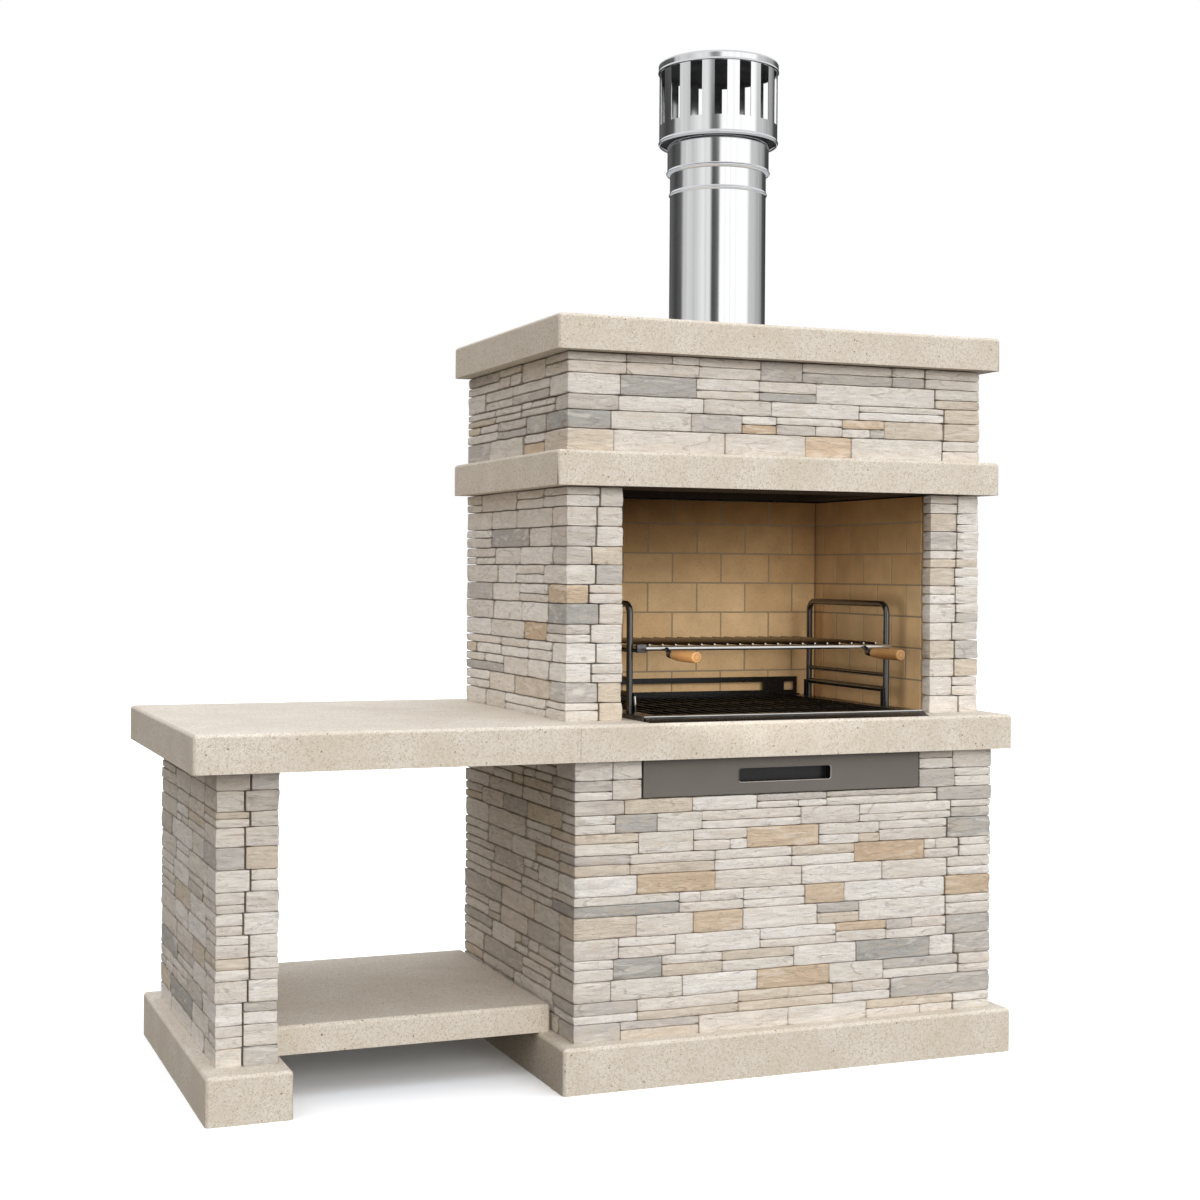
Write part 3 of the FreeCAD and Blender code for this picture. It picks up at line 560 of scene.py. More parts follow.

# %% [markdown]
# ## Ledge stone
# The cladding is natural stone split into flat bars. No two are alike: most are cream, some grey, a few
# tan, with layers, veins and fine cracks. A material for each bar would be hundreds of materials.
# Instead every face carries its bar's tint and a seed that shifts the patterns, and one finish reads
# both. Noise that is squeezed in height gives the layers, cell edges give the cracks, and a mark on the
# rim paints shade along the joints, stronger on the side faces.

# %% Ledge stone finish
LAYERED = (1.0, 1.0, 5.0)
BEDDED = (1.0, 1.0, 4.0)
SHARDS = (5.0, 5.0, 30.0)
SHARD_BEND = 0.30
BAND_TAN = tone(215, 198, 174)
BAND_PALE = tone(244, 235, 222)
VEIN_BROWN = tone(158, 142, 122)
CRACK_BROWN = tone(140, 122, 102)
JOINT_SHADE_BROWN = tone(116, 98, 79)
DUST_GREY = tone(140, 128, 114)


def attribute(tree, name):
    return add(tree, "Attribute", {"attribute_name": name}).outputs


def stretched(tree, place, scale):
    return add(tree, "Mapping", Vector=place, Scale=scale).outputs[0]


def fine_cracks(tree, place, clouds):
    """Cracks round long flat shards, kept only where the clouds are bright."""
    shards = stretched(tree, place, SHARDS)
    bent = add(tree, "TexNoise", Vector=shards, Scale=1.3, Detail=2.0).outputs["Color"]
    shards = mix(tree, SHARD_BEND, shards, bent, "LINEAR_LIGHT")
    edge = add(tree, "TexVoronoi", {"feature": "DISTANCE_TO_EDGE"}, Vector=shards, Scale=1.0)
    crack = ramp(tree, edge.outputs["Distance"], (0.010, 1.0), (0.032, 0.0))
    return mix(tree, crack, (0, 0, 0, 1), ramp(tree, clouds, (0.48, 0.0), (0.62, 1.0)))


def ledge_stone():
    made, tree, shader = new_material("ledge stone")
    place = add(tree, "VectorMath", {"operation": "ADD"})
    fill(tree, place.inputs[0], object_place(tree))
    fill(tree, place.inputs[1], attribute(tree, "stone_seed")["Vector"])
    place = place.outputs[0]
    strata = effect(tree, GRAIN, Vector=stretched(tree, place, LAYERED), Scale=24.0)
    grain = effect(tree, GRAIN, Vector=place, Scale=38.0)
    beds = stretched(tree, place, BEDDED)
    bands = add(tree, "TexNoise", Vector=beds, Scale=13.0, Detail=3.0, Distortion=1.0).outputs[0]
    veins = ramp(tree, bands, (0.487, 0.0), (0.5, 1.0), (0.513, 0.0))
    cracks = fine_cracks(tree, place, grain["Clouds"])
    dust = effect(tree, SPECKS, Vector=place, Scale=260.0, Amount=0.06)["Mask"]
    # Painted shade along the joints: a brown on each bar's rim, broken up by the bands.
    rim = ramp(tree, attribute(tree, "stone_rim")["Fac"], (0.70, 0.0), (1.0, 0.70))
    joint_shade = mix(tree, 1.0, rim, ramp(tree, bands, (0.35, 0.5), (0.6, 1.0)), "MULTIPLY")
    colour = attribute(tree, "stone_tint")["Color"]
    for shade in (ramp(tree, strata["Clouds"], (0.30, 0.92), (0.50, 1.0), (0.70, 1.05)),
                  ramp(tree, strata["Grain"], (0.32, 0.95), (0.66, 1.04)),
                  ramp(tree, grain["Clouds"], (0.36, 0.96), (0.64, 1.03))):
        colour = mix(tree, 1.0, colour, shade, "MULTIPLY")
    for mask, shade in ((ramp(tree, bands, (0.54, 0.0), (0.70, 0.42)), BAND_TAN),
                        (ramp(tree, bands, (0.34, 0.40), (0.44, 0.0)), BAND_PALE),
                        (ramp(tree, veins, (0.0, 0.0), (1.0, 0.28)), VEIN_BROWN),
                        (ramp(tree, cracks, (0.0, 0.0), (1.0, 0.4)), CRACK_BROWN),
                        (joint_shade, JOINT_SHADE_BROWN),
                        (ramp(tree, dust, (0.0, 0.0), (1.0, 0.26)), DUST_GREY)):
        colour = mix(tree, mask, colour, shade)
    skin = bump(tree, strata["Height"], 0.9, 2.8 * MM)
    skin = bump(tree, veins, 0.5, 1.2 * MM, skin, inward=True)
    skin = bump(tree, cracks, 0.4, 1.2 * MM, skin, inward=True)
    skin = bump(tree, grain["Grain"], 0.3, 0.8 * MM, skin)
    set_sockets(tree, shader, Base_Color=colour, Normal=skin, Specular_IOR_Level=0.22,
                Roughness=ramp(tree, grain["Grain"], (0.3, 0.75), (0.7, 0.92)))
    return made


LEDGE_STONE = ledge_stone()
print("ledge stone:", len(LEDGE_STONE.node_tree.nodes), "nodes")

# %% [markdown]
# ## Stones that stand out
# The eye finds the few tan and grey bars at once, so they make the wall this wall and no other. Leaving
# all colours to chance would lose them. A point that lies in such a bar marks it, and chance colours
# only the rest. Some of the marked bars are also thin ones.

# %% Stone tones and marks
COMMON_TONES = ((239, 232, 223), (242, 236, 228), (236, 227, 216), (234, 227, 217), (244, 239, 232),
                (230, 222, 212))
SOFT_TONES = ((214, 206, 197), (222, 209, 192), (207, 201, 194), (226, 212, 193))
TAN_TONES = ((217, 194, 167), (222, 200, 174), (212, 187, 159))
GREY_TONES = ((194, 190, 184), (185, 182, 177), (201, 196, 189))
FRONT = -0.412
HOOD_FRONT = -0.348
LEFT_SIDE = -0.127
TAN_MARKS = ((0.396, FRONT, 0.563), (0.117, FRONT, 0.470), (0.510, FRONT, 0.424), (0.688, FRONT, 0.514),
             (0.919, FRONT, 0.423), (0.226, FRONT, 0.371), (0.610, FRONT, 0.332), (0.426, FRONT, 0.219),
             (0.545, HOOD_FRONT, 1.503), (0.357, HOOD_FRONT, 1.533), (0.643, HOOD_FRONT, 1.558),
             (LEFT_SIDE, -0.178, 1.052))
GREY_MARKS = ((0.003, FRONT, 0.606), (0.925, FRONT, 0.561), (-0.020, FRONT, 0.406), (0.009, FRONT, 0.255),
              (0.547, FRONT, 0.386), (0.925, FRONT, 0.319), (0.700, FRONT, 0.276), (0.848, FRONT, 0.181),
              (0.098, HOOD_FRONT, 1.627), (0.433, HOOD_FRONT, 1.615), (0.814, HOOD_FRONT, 1.664),
              (-0.100, HOOD_FRONT, 1.545), (LEFT_SIDE, -0.030, 1.268))
THIN_MARKS = ((0.610, FRONT, 0.332), (0.547, FRONT, 0.386), (-0.020, FRONT, 0.406),
              (0.357, HOOD_FRONT, 1.533), (0.643, HOOD_FRONT, 1.558), (0.433, HOOD_FRONT, 1.615),
              (0.814, HOOD_FRONT, 1.664))
MARK_SLACK = 1.5 * MM


def reach(stone):
    """The span of a stone along each axis."""
    return [(min(v.co[axis] for v in stone), max(v.co[axis] for v in stone)) for axis in range(3)]


def holds(stone, marks):
    spans = reach(stone)
    return any(all(low - MARK_SLACK <= n <= high + MARK_SLACK for n, (low, high) in zip(mark, spans))
               for mark in marks)


print("marked stones:", len(TAN_MARKS), "tan,", len(GREY_MARKS), "grey,", len(THIN_MARKS), "of them thin")

# %% [markdown]
# ## Thin stones
# A mason mixes heights, so here and there two thin bars fill the course of one thick bar. They could
# all be solids of their own, at a cost in faces. Instead some bars are cut here: a twin is made, and
# each of the two is pulled back from the cut by half a joint, which leaves closed boxes with a real gap
# between them.

# %% Splitting stones
SPLIT_SHARE = 0.40
SPLIT_LEAST = 70 * MM
SPLIT_AT = (0.4, 0.6)
HALVE_SHARE = 0.3
HALVE_AT = (0.3, 0.7)
STONE_GAP = 2.7 * MM
BOX_CORNERS = 8
SEED = 17
pick = random.Random(SEED)


def islands(bm):
    """The separate stones of a mesh, each as a list of its vertices."""
    left = set(bm.verts)
    while left:
        start = left.pop()
        group, edge_of = [start], [start]
        while edge_of:
            vert = edge_of.pop()
            for edge in vert.link_edges:
                other = edge.other_vert(vert)
                if other in left:
                    left.discard(other)
                    group.append(other)
                    edge_of.append(other)
        yield group


def only_verts(items):
    return [item for item in items if isinstance(item, bmesh.types.BMVert)]


def faces_of(stone):
    return {face for vert in stone for face in vert.link_faces}


def cut_stone(bm, stone, axis, place):
    edges = {e for v in stone for e in v.link_edges}
    twin = only_verts(bmesh.ops.duplicate(bm, geom=stone + list(edges) + list(faces_of(stone)))["geom"])
    for vert in stone:
        vert.co[axis] = min(vert.co[axis], place - STONE_GAP / 2)
    for vert in twin:
        vert.co[axis] = max(vert.co[axis], place + STONE_GAP / 2)
    return twin


def split_some(bm):
    stones = sorted(islands(bm), key=reach)
    for stone in list(stones):
        spans = reach(stone)
        sizes = [high - low for low, high in spans]
        run = 0 if sizes[0] > sizes[1] else 1
        marked = holds(stone, TAN_MARKS + GREY_MARKS)
        wanted = holds(stone, THIN_MARKS) or (not marked and pick.random() < SPLIT_SHARE)
        if not wanted or sizes[run] < SPLIT_LEAST:
            continue
        low, high = spans[2]
        upper = cut_stone(bm, stone, 2, low + (high - low) * pick.uniform(*SPLIT_AT))
        stones.append(upper)
        if len(stone) == BOX_CORNERS and pick.random() < HALVE_SHARE:
            low, high = spans[run]
            half = pick.choice((stone, upper))
            stones.append(cut_stone(bm, half, run, low + (high - low) * pick.uniform(*HALVE_AT)))
    return sorted(stones, key=reach)


print("bars to split:", SPLIT_SHARE, "of those longer than", SPLIT_LEAST)

# %% [markdown]
# ## Tints
# Each bar gets its colour, a seed and a number while it is still a box of a few faces. Faces that are
# divided later inherit these layers, so the work is done once for each bar. Doing it afterwards would
# mean finding every bar again among thousands of faces.

# %% Stone tints
COMMON_BELOW = 0.80
SOFT_BELOW = 0.985
SEED_REACH = 9


def tone_choice(stone):
    chance = pick.random()
    if chance < COMMON_BELOW:
        choice = COMMON_TONES
    elif chance < SOFT_BELOW:
        choice = SOFT_TONES
    else:
        choice = pick.choice((TAN_TONES, GREY_TONES))
    if holds(stone, GREY_MARKS):
        return GREY_TONES
    return TAN_TONES if holds(stone, TAN_MARKS) else choice


def tint_stones(bm, stones):
    tint = bm.faces.layers.float_color.new("stone_tint")
    seed = bm.faces.layers.float_vector.new("stone_seed")
    number = bm.faces.layers.int.new("stone_number")
    for index, stone in enumerate(stones):
        shade = tone(*pick.choice(tone_choice(stone)))
        offset = Vector([pick.uniform(0, SEED_REACH) for axis in range(3)])
        for face in faces_of(stone):
            face[tint] = shade
            face[seed] = offset
            face[number] = index
    return seed, number


print("stone tones:", len(COMMON_TONES + SOFT_TONES + TAN_TONES + GREY_TONES))

# %% [markdown]
# ## The broken face
# Split stone is not sawn: it breaks along its layers, in waves, ledges and chips. A Displace modifier
# would move the backs of the bars as well. Here noise moves each vertex in proportion to how far it
# stands out from the wall behind, so the face is rough while the back keeps its place, and the joints
# wander only a little. The faces of all bars are also drawn out towards one depth. Vector noise follows
# the clock unless it has a seed, so it gets one, and every run lays the same wall.

# %% Stone grid and easing
GRID = (16 * MM, 16 * MM, 6.5 * MM)
ALONG = 0.9


def divide(bm, axis):
    """Cuts the edges that run along an axis into pieces of about the grid's size."""
    by_count = {}
    for edge in bm.edges:
        way = edge.verts[1].co - edge.verts[0].co
        if abs(way[axis]) > ALONG * way.length:
            by_count.setdefault(round(way.length / GRID[axis]) - 1, []).append(edge)
    for count, edges in sorted(by_count.items()):
        if count > 0:
            bmesh.ops.subdivide_edges(bm, edges=edges, cuts=count, use_grid_fill=False)


def ease(value, width):
    share = min(max(value / width, 0.0), 1.0)
    return share * share * (3 - 2 * share)


def from_middle(value, span):
    """Where a value lies in a span: -1 at its low end, 1 at its high end."""
    return 2 * (value - span[0]) / (span[1] - span[0]) - 1


def beyond(value, low, high):
    """How far a value lies outside a span, with the sign of the way out."""
    return min(value - low, 0) + max(value - high, 0)


print("stone grid:", GRID)

# %% Rough faces
FULL_DEPTH = 26 * MM
EVENED = 0.7
BROAD, BROAD_SCALE = 1.2 * MM, 11
FINE, FINE_SCALE = 0.6 * MM, 60
LEDGE, LEDGE_SCALE = 2.0 * MM, Vector((9, 9, 46))
LEDGES, RISER_FROM, RISER = 3, 0.35, 0.3
PILLOW, PILLOW_REACH = 0.3 * MM, 8 * MM
CHIP, CHIP_REACH, CHIP_SCALE, CHIP_FROM = 2.6 * MM, 12 * MM, 38, 0.12
WANDER, WANDER_SCALE = Vector((0.5, 0.5, 1.4)) * MM, 15
SWELL = 0.6 * MM
CORNER, CORNER_REACH = 1.2 * MM, 9 * MM
TURNS_CORNER = 0.3
RIM_WIDTH = 1.6 * MM
# How strongly the rim's painted joint shade shows: more on the side faces than on the front.
JOINT_SHADE_SIDE = 0.95
JOINT_SHADE_FRONT = 0.72
noise.seed_set(SEED)


def terrace(value):
    """A slope turned into steps with short risers, as split stone breaks along its layers."""
    level = value * LEDGES
    return (math.floor(level) + ease(level - math.floor(level) - RISER_FROM, RISER)) / LEDGES


def to_full_depth(out, span, low, high):
    """How much a stone is drawn out, so that its face comes near the full depth."""
    own = abs(beyond(span[0] if out < 0 else span[1], low, high))
    return EVENED * (FULL_DEPTH - own) * out / own if own else 0.0


def face_lift(spot, edge):
    """How far the broken face stands out at a spot, given its way to the nearest bed."""
    lift = BROAD * noise.noise(spot * BROAD_SCALE) + FINE * noise.noise(spot * FINE_SCALE)
    lift += LEDGE * terrace(noise.noise(spot * LEDGE_SCALE))
    lift += PILLOW * (ease(edge, PILLOW_REACH) - 1)
    chipped = max(0, noise.noise(spot * CHIP_SCALE) - CHIP_FROM)
    return lift - CHIP * chipped * (1 - ease(edge, CHIP_REACH))


def roughen(bm, spans, walls, seed, number):
    low = [min(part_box(wall)[0][axis] for wall in walls) for axis in range(2)]
    high = max(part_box(wall)[1].x for wall in walls)
    rim = bm.verts.layers.float.new("stone_rim")
    for vert in bm.verts:
        face = vert.link_faces[0]
        span = spans[face[number]]
        spot = vert.co + face[seed]
        out_x = beyond(vert.co.x, low[0], high)
        out_y = beyond(vert.co.y, low[1], vert.co.y)
        drawn = Vector((to_full_depth(out_x, span[0], low[0], high),
                        to_full_depth(out_y, span[1], low[1], span[1][1]), 0))
        out_x, out_y = out_x / FULL_DEPTH, out_y / FULL_DEPTH
        run = 0 if abs(out_y) > abs(out_x) else 1
        edge = min(vert.co.z - span[2][0], span[2][1] - vert.co.z)
        end = min(vert.co[run] - span[run][0], span[run][1] - vert.co[run])
        if min(abs(out_x), abs(out_y)) > TURNS_CORNER:
            end = FULL_DEPTH
        # The rim carries the painted joint shade, stronger on the side faces.
        joint_shading = JOINT_SHADE_SIDE if run == 1 else JOINT_SHADE_FRONT
        vert[rim] = joint_shading if min(edge, end) < RIM_WIDTH else 0.0
        lift = face_lift(spot, edge)
        depth = min(1.0, max(abs(out_x), abs(out_y)))
        shift = noise.noise_vector(vert.co * WANDER_SCALE) * WANDER * depth
        shift[run] += SWELL * from_middle(vert.co[run], span[run])
        side = from_middle(vert.co.z, span[2])
        shift.z += side * (SWELL - CORNER * (1 - ease(end, CORNER_REACH)))
        vert.co += drawn + shift + Vector((out_x * lift, out_y * lift, 0))


print("rough faces: ledges of", LEDGE, "chips of", CHIP)

# %% [markdown]
# ## Laying the stones
# Now the steps come together for each stretch of cladding: copy, split, tint, divide, round the edges,
# roughen. Rounding comes after the division, because a bevel on undivided bars would leave long thin
# faces that crease when the noise moves them. Each stretch of cladding stays one piece.

# %% Ledge stones
STONE_ROUND = 1.1 * MM
STONE_TURN = 50
STONE_SMOOTH = 48
BASE_WALLS = ("base_left_wall", "base_right_wall")
WALLS_BEHIND = {
    "base_front_stones": BASE_WALLS,
    "drawer_left_stones": BASE_WALLS,
    "drawer_right_stones": BASE_WALLS,
    "base_left_stones": BASE_WALLS,
    "base_right_stones": BASE_WALLS,
    "leg_stones": ("leg_core",),
    "hood_stones": ("hood_left_wall", "hood_right_wall"),
    "left_pillar_stones": ("left_pillar_core",),
    "right_pillar_stones": ("right_pillar_core",),
}


def lay_stones(node):
    bm = merged_copy(node)
    stones = split_some(bm)
    spans = [reach(stone) for stone in stones]
    seed, number = tint_stones(bm, stones)
    for axis in (2, 0, 1):
        divide(bm, axis)
    soften(bm, edges_turning(bm, STONE_TURN), STONE_ROUND)
    bmesh.ops.triangulate(bm, faces=[f for f in bm.faces if len(f.verts) > 4])
    roughen(bm, spans, WALLS_BEHIND[node], seed, number)
    piece = finish_piece(node + "_split", bm, LEDGE_STONE, "ledge_stone", replaces=[node],
                         smooth=STONE_SMOOTH)
    print(node, len(stones), "stones,", len(piece.data.polygons), "faces")


for node in WALLS_BEHIND:
    lay_stones(node)

# %% [markdown]
# ## Cast walls
# Behind the stones stand plain cast walls, seen from the back, in the drawer bay and up in the hood.
# Concrete is grey-beige and cloudy, with pinholes where air sat against the mould. Modelled pinholes
# would be thousands of faces, so specks that also dent the normal stand for them. The copies get a
# small broken edge.

# %% Cast walls
WALL_EDGE = 2.5 * MM
WALL_DARK = tone(176, 169, 158)
WALL_LIGHT = tone(202, 196, 186)
WALL_STAIN = tone(163, 154, 141)
PORE_BROWN = tone(134, 126, 115)


def cast_wall():
    made, tree, shader = new_material("cast wall")
    place = object_place(tree)
    grain = effect(tree, GRAIN, Vector=place, Scale=7.0)
    pores = effect(tree, SPECKS, Vector=place, Scale=110.0, Amount=0.12)["Mask"]
    colour = mix(tree, ramp(tree, grain["Clouds"], (0.32, 0.0), (0.70, 1.0)), WALL_DARK, WALL_LIGHT)
    colour = mix(tree, ramp(tree, grain["Grain"], (0.40, 0.0), (0.62, 0.35)), colour, WALL_STAIN)
    colour = mix(tree, pores, colour, PORE_BROWN)
    skin = bump(tree, pores, 0.6, 1.5 * MM, inward=True)
    skin = bump(tree, grain["Height"], 0.25, 1.5 * MM, skin)
    set_sockets(tree, shader, Base_Color=colour, Normal=skin, Specular_IOR_Level=0.2,
                Roughness=ramp(tree, grain["Grain"], (0.3, 0.78), (0.7, 0.93)))
    return made


CAST_WALL = cast_wall()
for node in NODES_WITH["cast_wall"]:
    wall = merged_copy(node)
    soften(wall, edges_turning(wall), WALL_EDGE)
    finish_piece(node + "_cast", wall, CAST_WALL, "cast_wall", replaces=[node], flat_sides=True)
print("walls:", len(NODES_WITH["cast_wall"]))

# %% [markdown]
# ## Firebrick and mortar
# Firebrick is ochre, a little cloudy, with brown flecks, and the upper half of the hearth is browner,
# partly from smoke and partly from painted shade under the lintel. The brown could be painted on each
# brick, but it does not stop at joints. So the finish reads each brick's own tint and multiplies it by a
# brown that grows with height. The mortar between the bricks is plain and sandy.

# %% Firebrick finish
# A brown for the upper hearth: smoke brown and painted shade under the lintel.
SMOKE_AND_SHADE_TINT = (0.58, 0.46, 0.32, 1)
FLECK_BROWN = tone(150, 110, 70)
MORTAR_DARK = tone(148, 130, 106)
MORTAR_LIGHT = tone(172, 154, 128)


def firebrick():
    made, tree, shader = new_material("firebrick")
    place = object_place(tree)
    grain = effect(tree, GRAIN, Vector=place, Scale=16.0)
    flecks = effect(tree, SPECKS, Vector=place, Scale=240.0, Amount=0.25)["Mask"]
    clouds = ramp(tree, grain["Clouds"], (0.30, 0.88), (0.70, 1.06))
    colour = mix(tree, 1.0, attribute(tree, "brick_tint")["Color"], clouds, "MULTIPLY")
    colour = mix(tree, ramp(tree, flecks, (0.0, 0.0), (1.0, 0.4)), colour, FLECK_BROWN)
    low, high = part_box("back_firebricks")
    height = add(tree, "SeparateXYZ", Vector=place).outputs["Z"]
    # Darker towards the top: smoke brown together with painted shade under the lintel.
    smoked_and_shaded = rescale(tree, height, (low.z + high.z) / 2, high.z)
    colour = mix(tree, 1.0, colour, mix(tree, smoked_and_shaded, WHITE, SMOKE_AND_SHADE_TINT), "MULTIPLY")
    set_sockets(tree, shader, Base_Color=colour, Normal=bump(tree, grain["Height"], 0.3, 1.5 * MM),
                Roughness=ramp(tree, grain["Grain"], (0.3, 0.75), (0.7, 0.92)), Specular_IOR_Level=0.2)
    return made


def mortar():
    made, tree, shader = new_material("brick mortar")
    grain = effect(tree, GRAIN, Vector=object_place(tree), Scale=40.0)
    set_sockets(tree, shader, Base_Color=mix(tree, grain["Clouds"], MORTAR_DARK, MORTAR_LIGHT),
                Normal=bump(tree, grain["Grain"], 0.5, 1.0 * MM), Roughness=0.95, Specular_IOR_Level=0.15)
    return made


FIREBRICK = firebrick()
MORTAR = mortar()
print("finishes:", FIREBRICK.name, "and", MORTAR.name)

# %% [markdown]
# ## Bricks and joints
# The hearth is lined in running bond, with the joints filled and struck back a little. A flat wall with
# a brick pattern would show no depth in the side light. Each brick is a copied solid with rounded edges
# and a tint of its own. The joints are boxes between the bricks: one bed for each course, and one
# upright between two neighbours.

# %% Bricks and joints
BRICK_TONES = ((220, 186, 140), (217, 182, 136), (222, 189, 144), (214, 179, 133), (219, 184, 138))
BRICK_EDGE = 1.2 * MM
JOINT = 4 * MM
JOINT_DEPTH = 1.0 * MM
BRICK_FACES = {"back_firebricks": (0, 1, -1), "left_firebricks": (1, 0, 1), "right_firebricks": (1, 0, -1)}


def lay_bricks(node):
    bm = merged_copy(node)
    bricks = sorted(islands(bm), key=reach)
    tint = bm.faces.layers.float_color.new("brick_tint")
    for brick in bricks:
        shade = tone(*pick.choice(BRICK_TONES))
        for face in faces_of(brick):
            face[tint] = shade
    spans = [reach(brick) for brick in bricks]
    soften(bm, edges_turning(bm), BRICK_EDGE)
    finish_piece(node + "_laid", bm, FIREBRICK, "firebrick", replaces=[node], flat_sides=True)
    return spans


def fill_joints(node, spans):
    run, out, way = BRICK_FACES[node]
    low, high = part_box(node)
    depth = [low[out] + (JOINT_DEPTH if way < 0 else 0), high[out] - (JOINT_DEPTH if way > 0 else 0)]
    bm = bmesh.new()
    for bottom in sorted({round(span[2][0], 4) for span in spans})[1:]:
        corners = [list(low), list(high)]
        for corner, level, reach_out in zip(corners, (bottom - JOINT, bottom), depth):
            corner[2], corner[out] = level, reach_out
        add_box(bm, *corners)
    for span in spans:
        if span[run][0] - JOINT > low[run] - NEAR:
            corners = [[0, 0, end] for end in span[2]]
            for corner, place, reach_out in zip(corners, (span[run][0] - JOINT, span[run][0]), depth):
                corner[run], corner[out] = place, reach_out
            add_box(bm, *corners)
    finish_piece(node.replace("firebricks", "brick_joints"), bm, MORTAR, "cast_wall")


for node in BRICK_FACES:
    brick_spans = lay_bricks(node)
    fill_joints(node, brick_spans)
    print(node, len(brick_spans), "bricks")

# %% [markdown]
# ## Steel finishes
# Bare steel is on flue and grill, bright or browned by heat. Black paint is on tray, frames and guard,
# satin paint on the drawer front, zinc on the sheet behind it, and painted shade inside the cowl. Handled
# metal is never even, and a single roughness gives it away. So one node group makes cloudy smears, and each
# finish lays them on its colour and its roughness. Two recipes, bare and painted, then need only tones
# and a range of roughness. Zinc has a third, for its flakes.

# %% Smears


def smear_group():
    group, given, out = new_group("Metal smears", {"Scale": 12.0, "Low": 0.1, "High": 0.3},
                                  ("Smears", "Roughness"))
    smears = add(group, "TexNoise", Vector=given["Vector"], Scale=given["Scale"], Detail=5.0, Roughness=0.6)
    fill(group, out["Smears"], smears.outputs[0])
    fill(group, out["Roughness"], rescale(group, smears.outputs[0], 0.3, 0.7, given["Low"], given["High"]))
    return group


SMEARS = smear_group()
print("effect:", SMEARS.name)

# %% Steel finishes
ZINC_DARK = tone(164, 166, 168)
ZINC_LIGHT = tone(186, 188, 190)


def bare_steel(name, dark, light, rough, drawn=1.0):
    """Steel without paint. Where the sheet is drawn, its smears are stretched upwards."""
    made, tree, shader = new_material(name)
    place = stretched(tree, object_place(tree), (1.0, 1.0, drawn))
    smears = effect(tree, SMEARS, Vector=place, Scale=9.0, Low=rough[0], High=rough[1])
    set_sockets(tree, shader, Base_Color=mix(tree, smears["Smears"], dark, light),
                Roughness=smears["Roughness"], Metallic=1.0)
    return made


def painted_steel(name, dark, light, rough, gloss):
    made, tree, shader = new_material(name)
    place = object_place(tree)
    smears = effect(tree, SMEARS, Vector=place, Scale=14.0, Low=rough[0], High=rough[1])
    grain = effect(tree, GRAIN, Vector=place, Scale=90.0)
    set_sockets(tree, shader, Base_Color=mix(tree, smears["Smears"], dark, light), IOR=gloss,
                Roughness=smears["Roughness"], Normal=bump(tree, grain["Grain"], 0.12, 0.4 * MM))
    return made


def zinc_sheet():
    made, tree, shader = new_material("zinc sheet")
    spangle = add(tree, "TexVoronoi", Vector=object_place(tree), Scale=70.0).outputs["Color"]
    flakes = add(tree, "SeparateColor", Color=spangle).outputs[0]
    set_sockets(tree, shader, Base_Color=mix(tree, flakes, ZINC_DARK, ZINC_LIGHT), Metallic=0.6,
                Roughness=ramp(tree, flakes, (0.0, 0.38), (1.0, 0.48)))
    return made


STAINLESS = bare_steel("stainless", tone(220, 221, 222), tone(236, 236, 236), (0.08, 0.20), drawn=0.15)
GRILL_STEEL = bare_steel("grill steel", tone(214, 210, 204), tone(236, 234, 230), (0.10, 0.22))
BURNT_STEEL = bare_steel("burnt steel", tone(78, 72, 65), tone(140, 132, 122), (0.16, 0.3))
BLACK_STEEL = painted_steel("black steel", tone(12, 12, 12), tone(24, 23, 22), (0.2, 0.36), gloss=1.5)
FRAME_STEEL = painted_steel("frame steel", tone(14, 14, 14), tone(26, 25, 24), (0.14, 0.26), gloss=2.1)
BLACK_IRON = painted_steel("black iron", tone(8, 8, 7), tone(22, 20, 18), (0.5, 0.75), gloss=1.3)
# Near-black steel that paints the shade inside the cowl and under its lid.
SHADE_STEEL = painted_steel("shade steel", tone(16, 15, 14), tone(42, 38, 34), (0.5, 0.75), gloss=1.3)
# A lighter finish for the lower and right lips of the finger slot: a painted highlight.
RIM_HIGHLIGHT_STEEL = painted_steel("rim highlight steel", tone(166, 159, 150), tone(184, 177, 168), (0.3, 0.42), gloss=1.6)
DULL_STEEL = painted_steel("dull steel", tone(168, 169, 170), tone(196, 197, 198), (0.3, 0.45), gloss=2.0)
DRAWER_STEEL = painted_steel("drawer steel", tone(106, 100, 94), tone(118, 112, 106), (0.4, 0.52), gloss=1.45)
ZINC = zinc_sheet()
print("finishes in all:", len(bpy.data.materials))

# %% [markdown]
# ## Sheet pieces
# Tray, guard, drawer and runners are folded sheet, and the grate is cast. Their solids already have the
# right form, so building them again would gain nothing. A copy with a narrow bevel gives each fold and
# cut edge the thin line of light that real sheet shows, and cast iron gets a rounder one.

# %% Sheet pieces
SHEET_EDGE = 0.7 * MM
SHEET_SMOOTH = 60
IRON_EDGE = 1.4 * MM
SHEETS = (
    ("fire_tray", BLACK_STEEL, "masonry", SHEET_EDGE),
    ("rear_ember_guard", BLACK_STEEL, "masonry", SHEET_EDGE),
    ("ember_grate", BLACK_IRON, "ember_grate", IRON_EDGE),
    ("drawer_front", DRAWER_STEEL, "drawer", SHEET_EDGE),
    ("drawer_handle_pocket", BLACK_STEEL, "drawer", SHEET_EDGE),
    ("drawer_box", ZINC, "drawer", SHEET_EDGE),
    ("drawer_screws", ZINC, "drawer", SHEET_EDGE),
    ("drawer_left_runner", ZINC, "masonry", SHEET_EDGE),
    ("drawer_right_runner", ZINC, "masonry", SHEET_EDGE),
)

for node, steel, body, edge in SHEETS:
    sheet = merged_copy(node)
    soften(sheet, edges_turning(sheet), edge)
    finish_piece(node + "_folded", sheet, steel, SLOT_OF[node], body, [node], smooth=SHEET_SMOOTH,
                 flat_sides=True)
print("sheet pieces:", len(SHEETS))
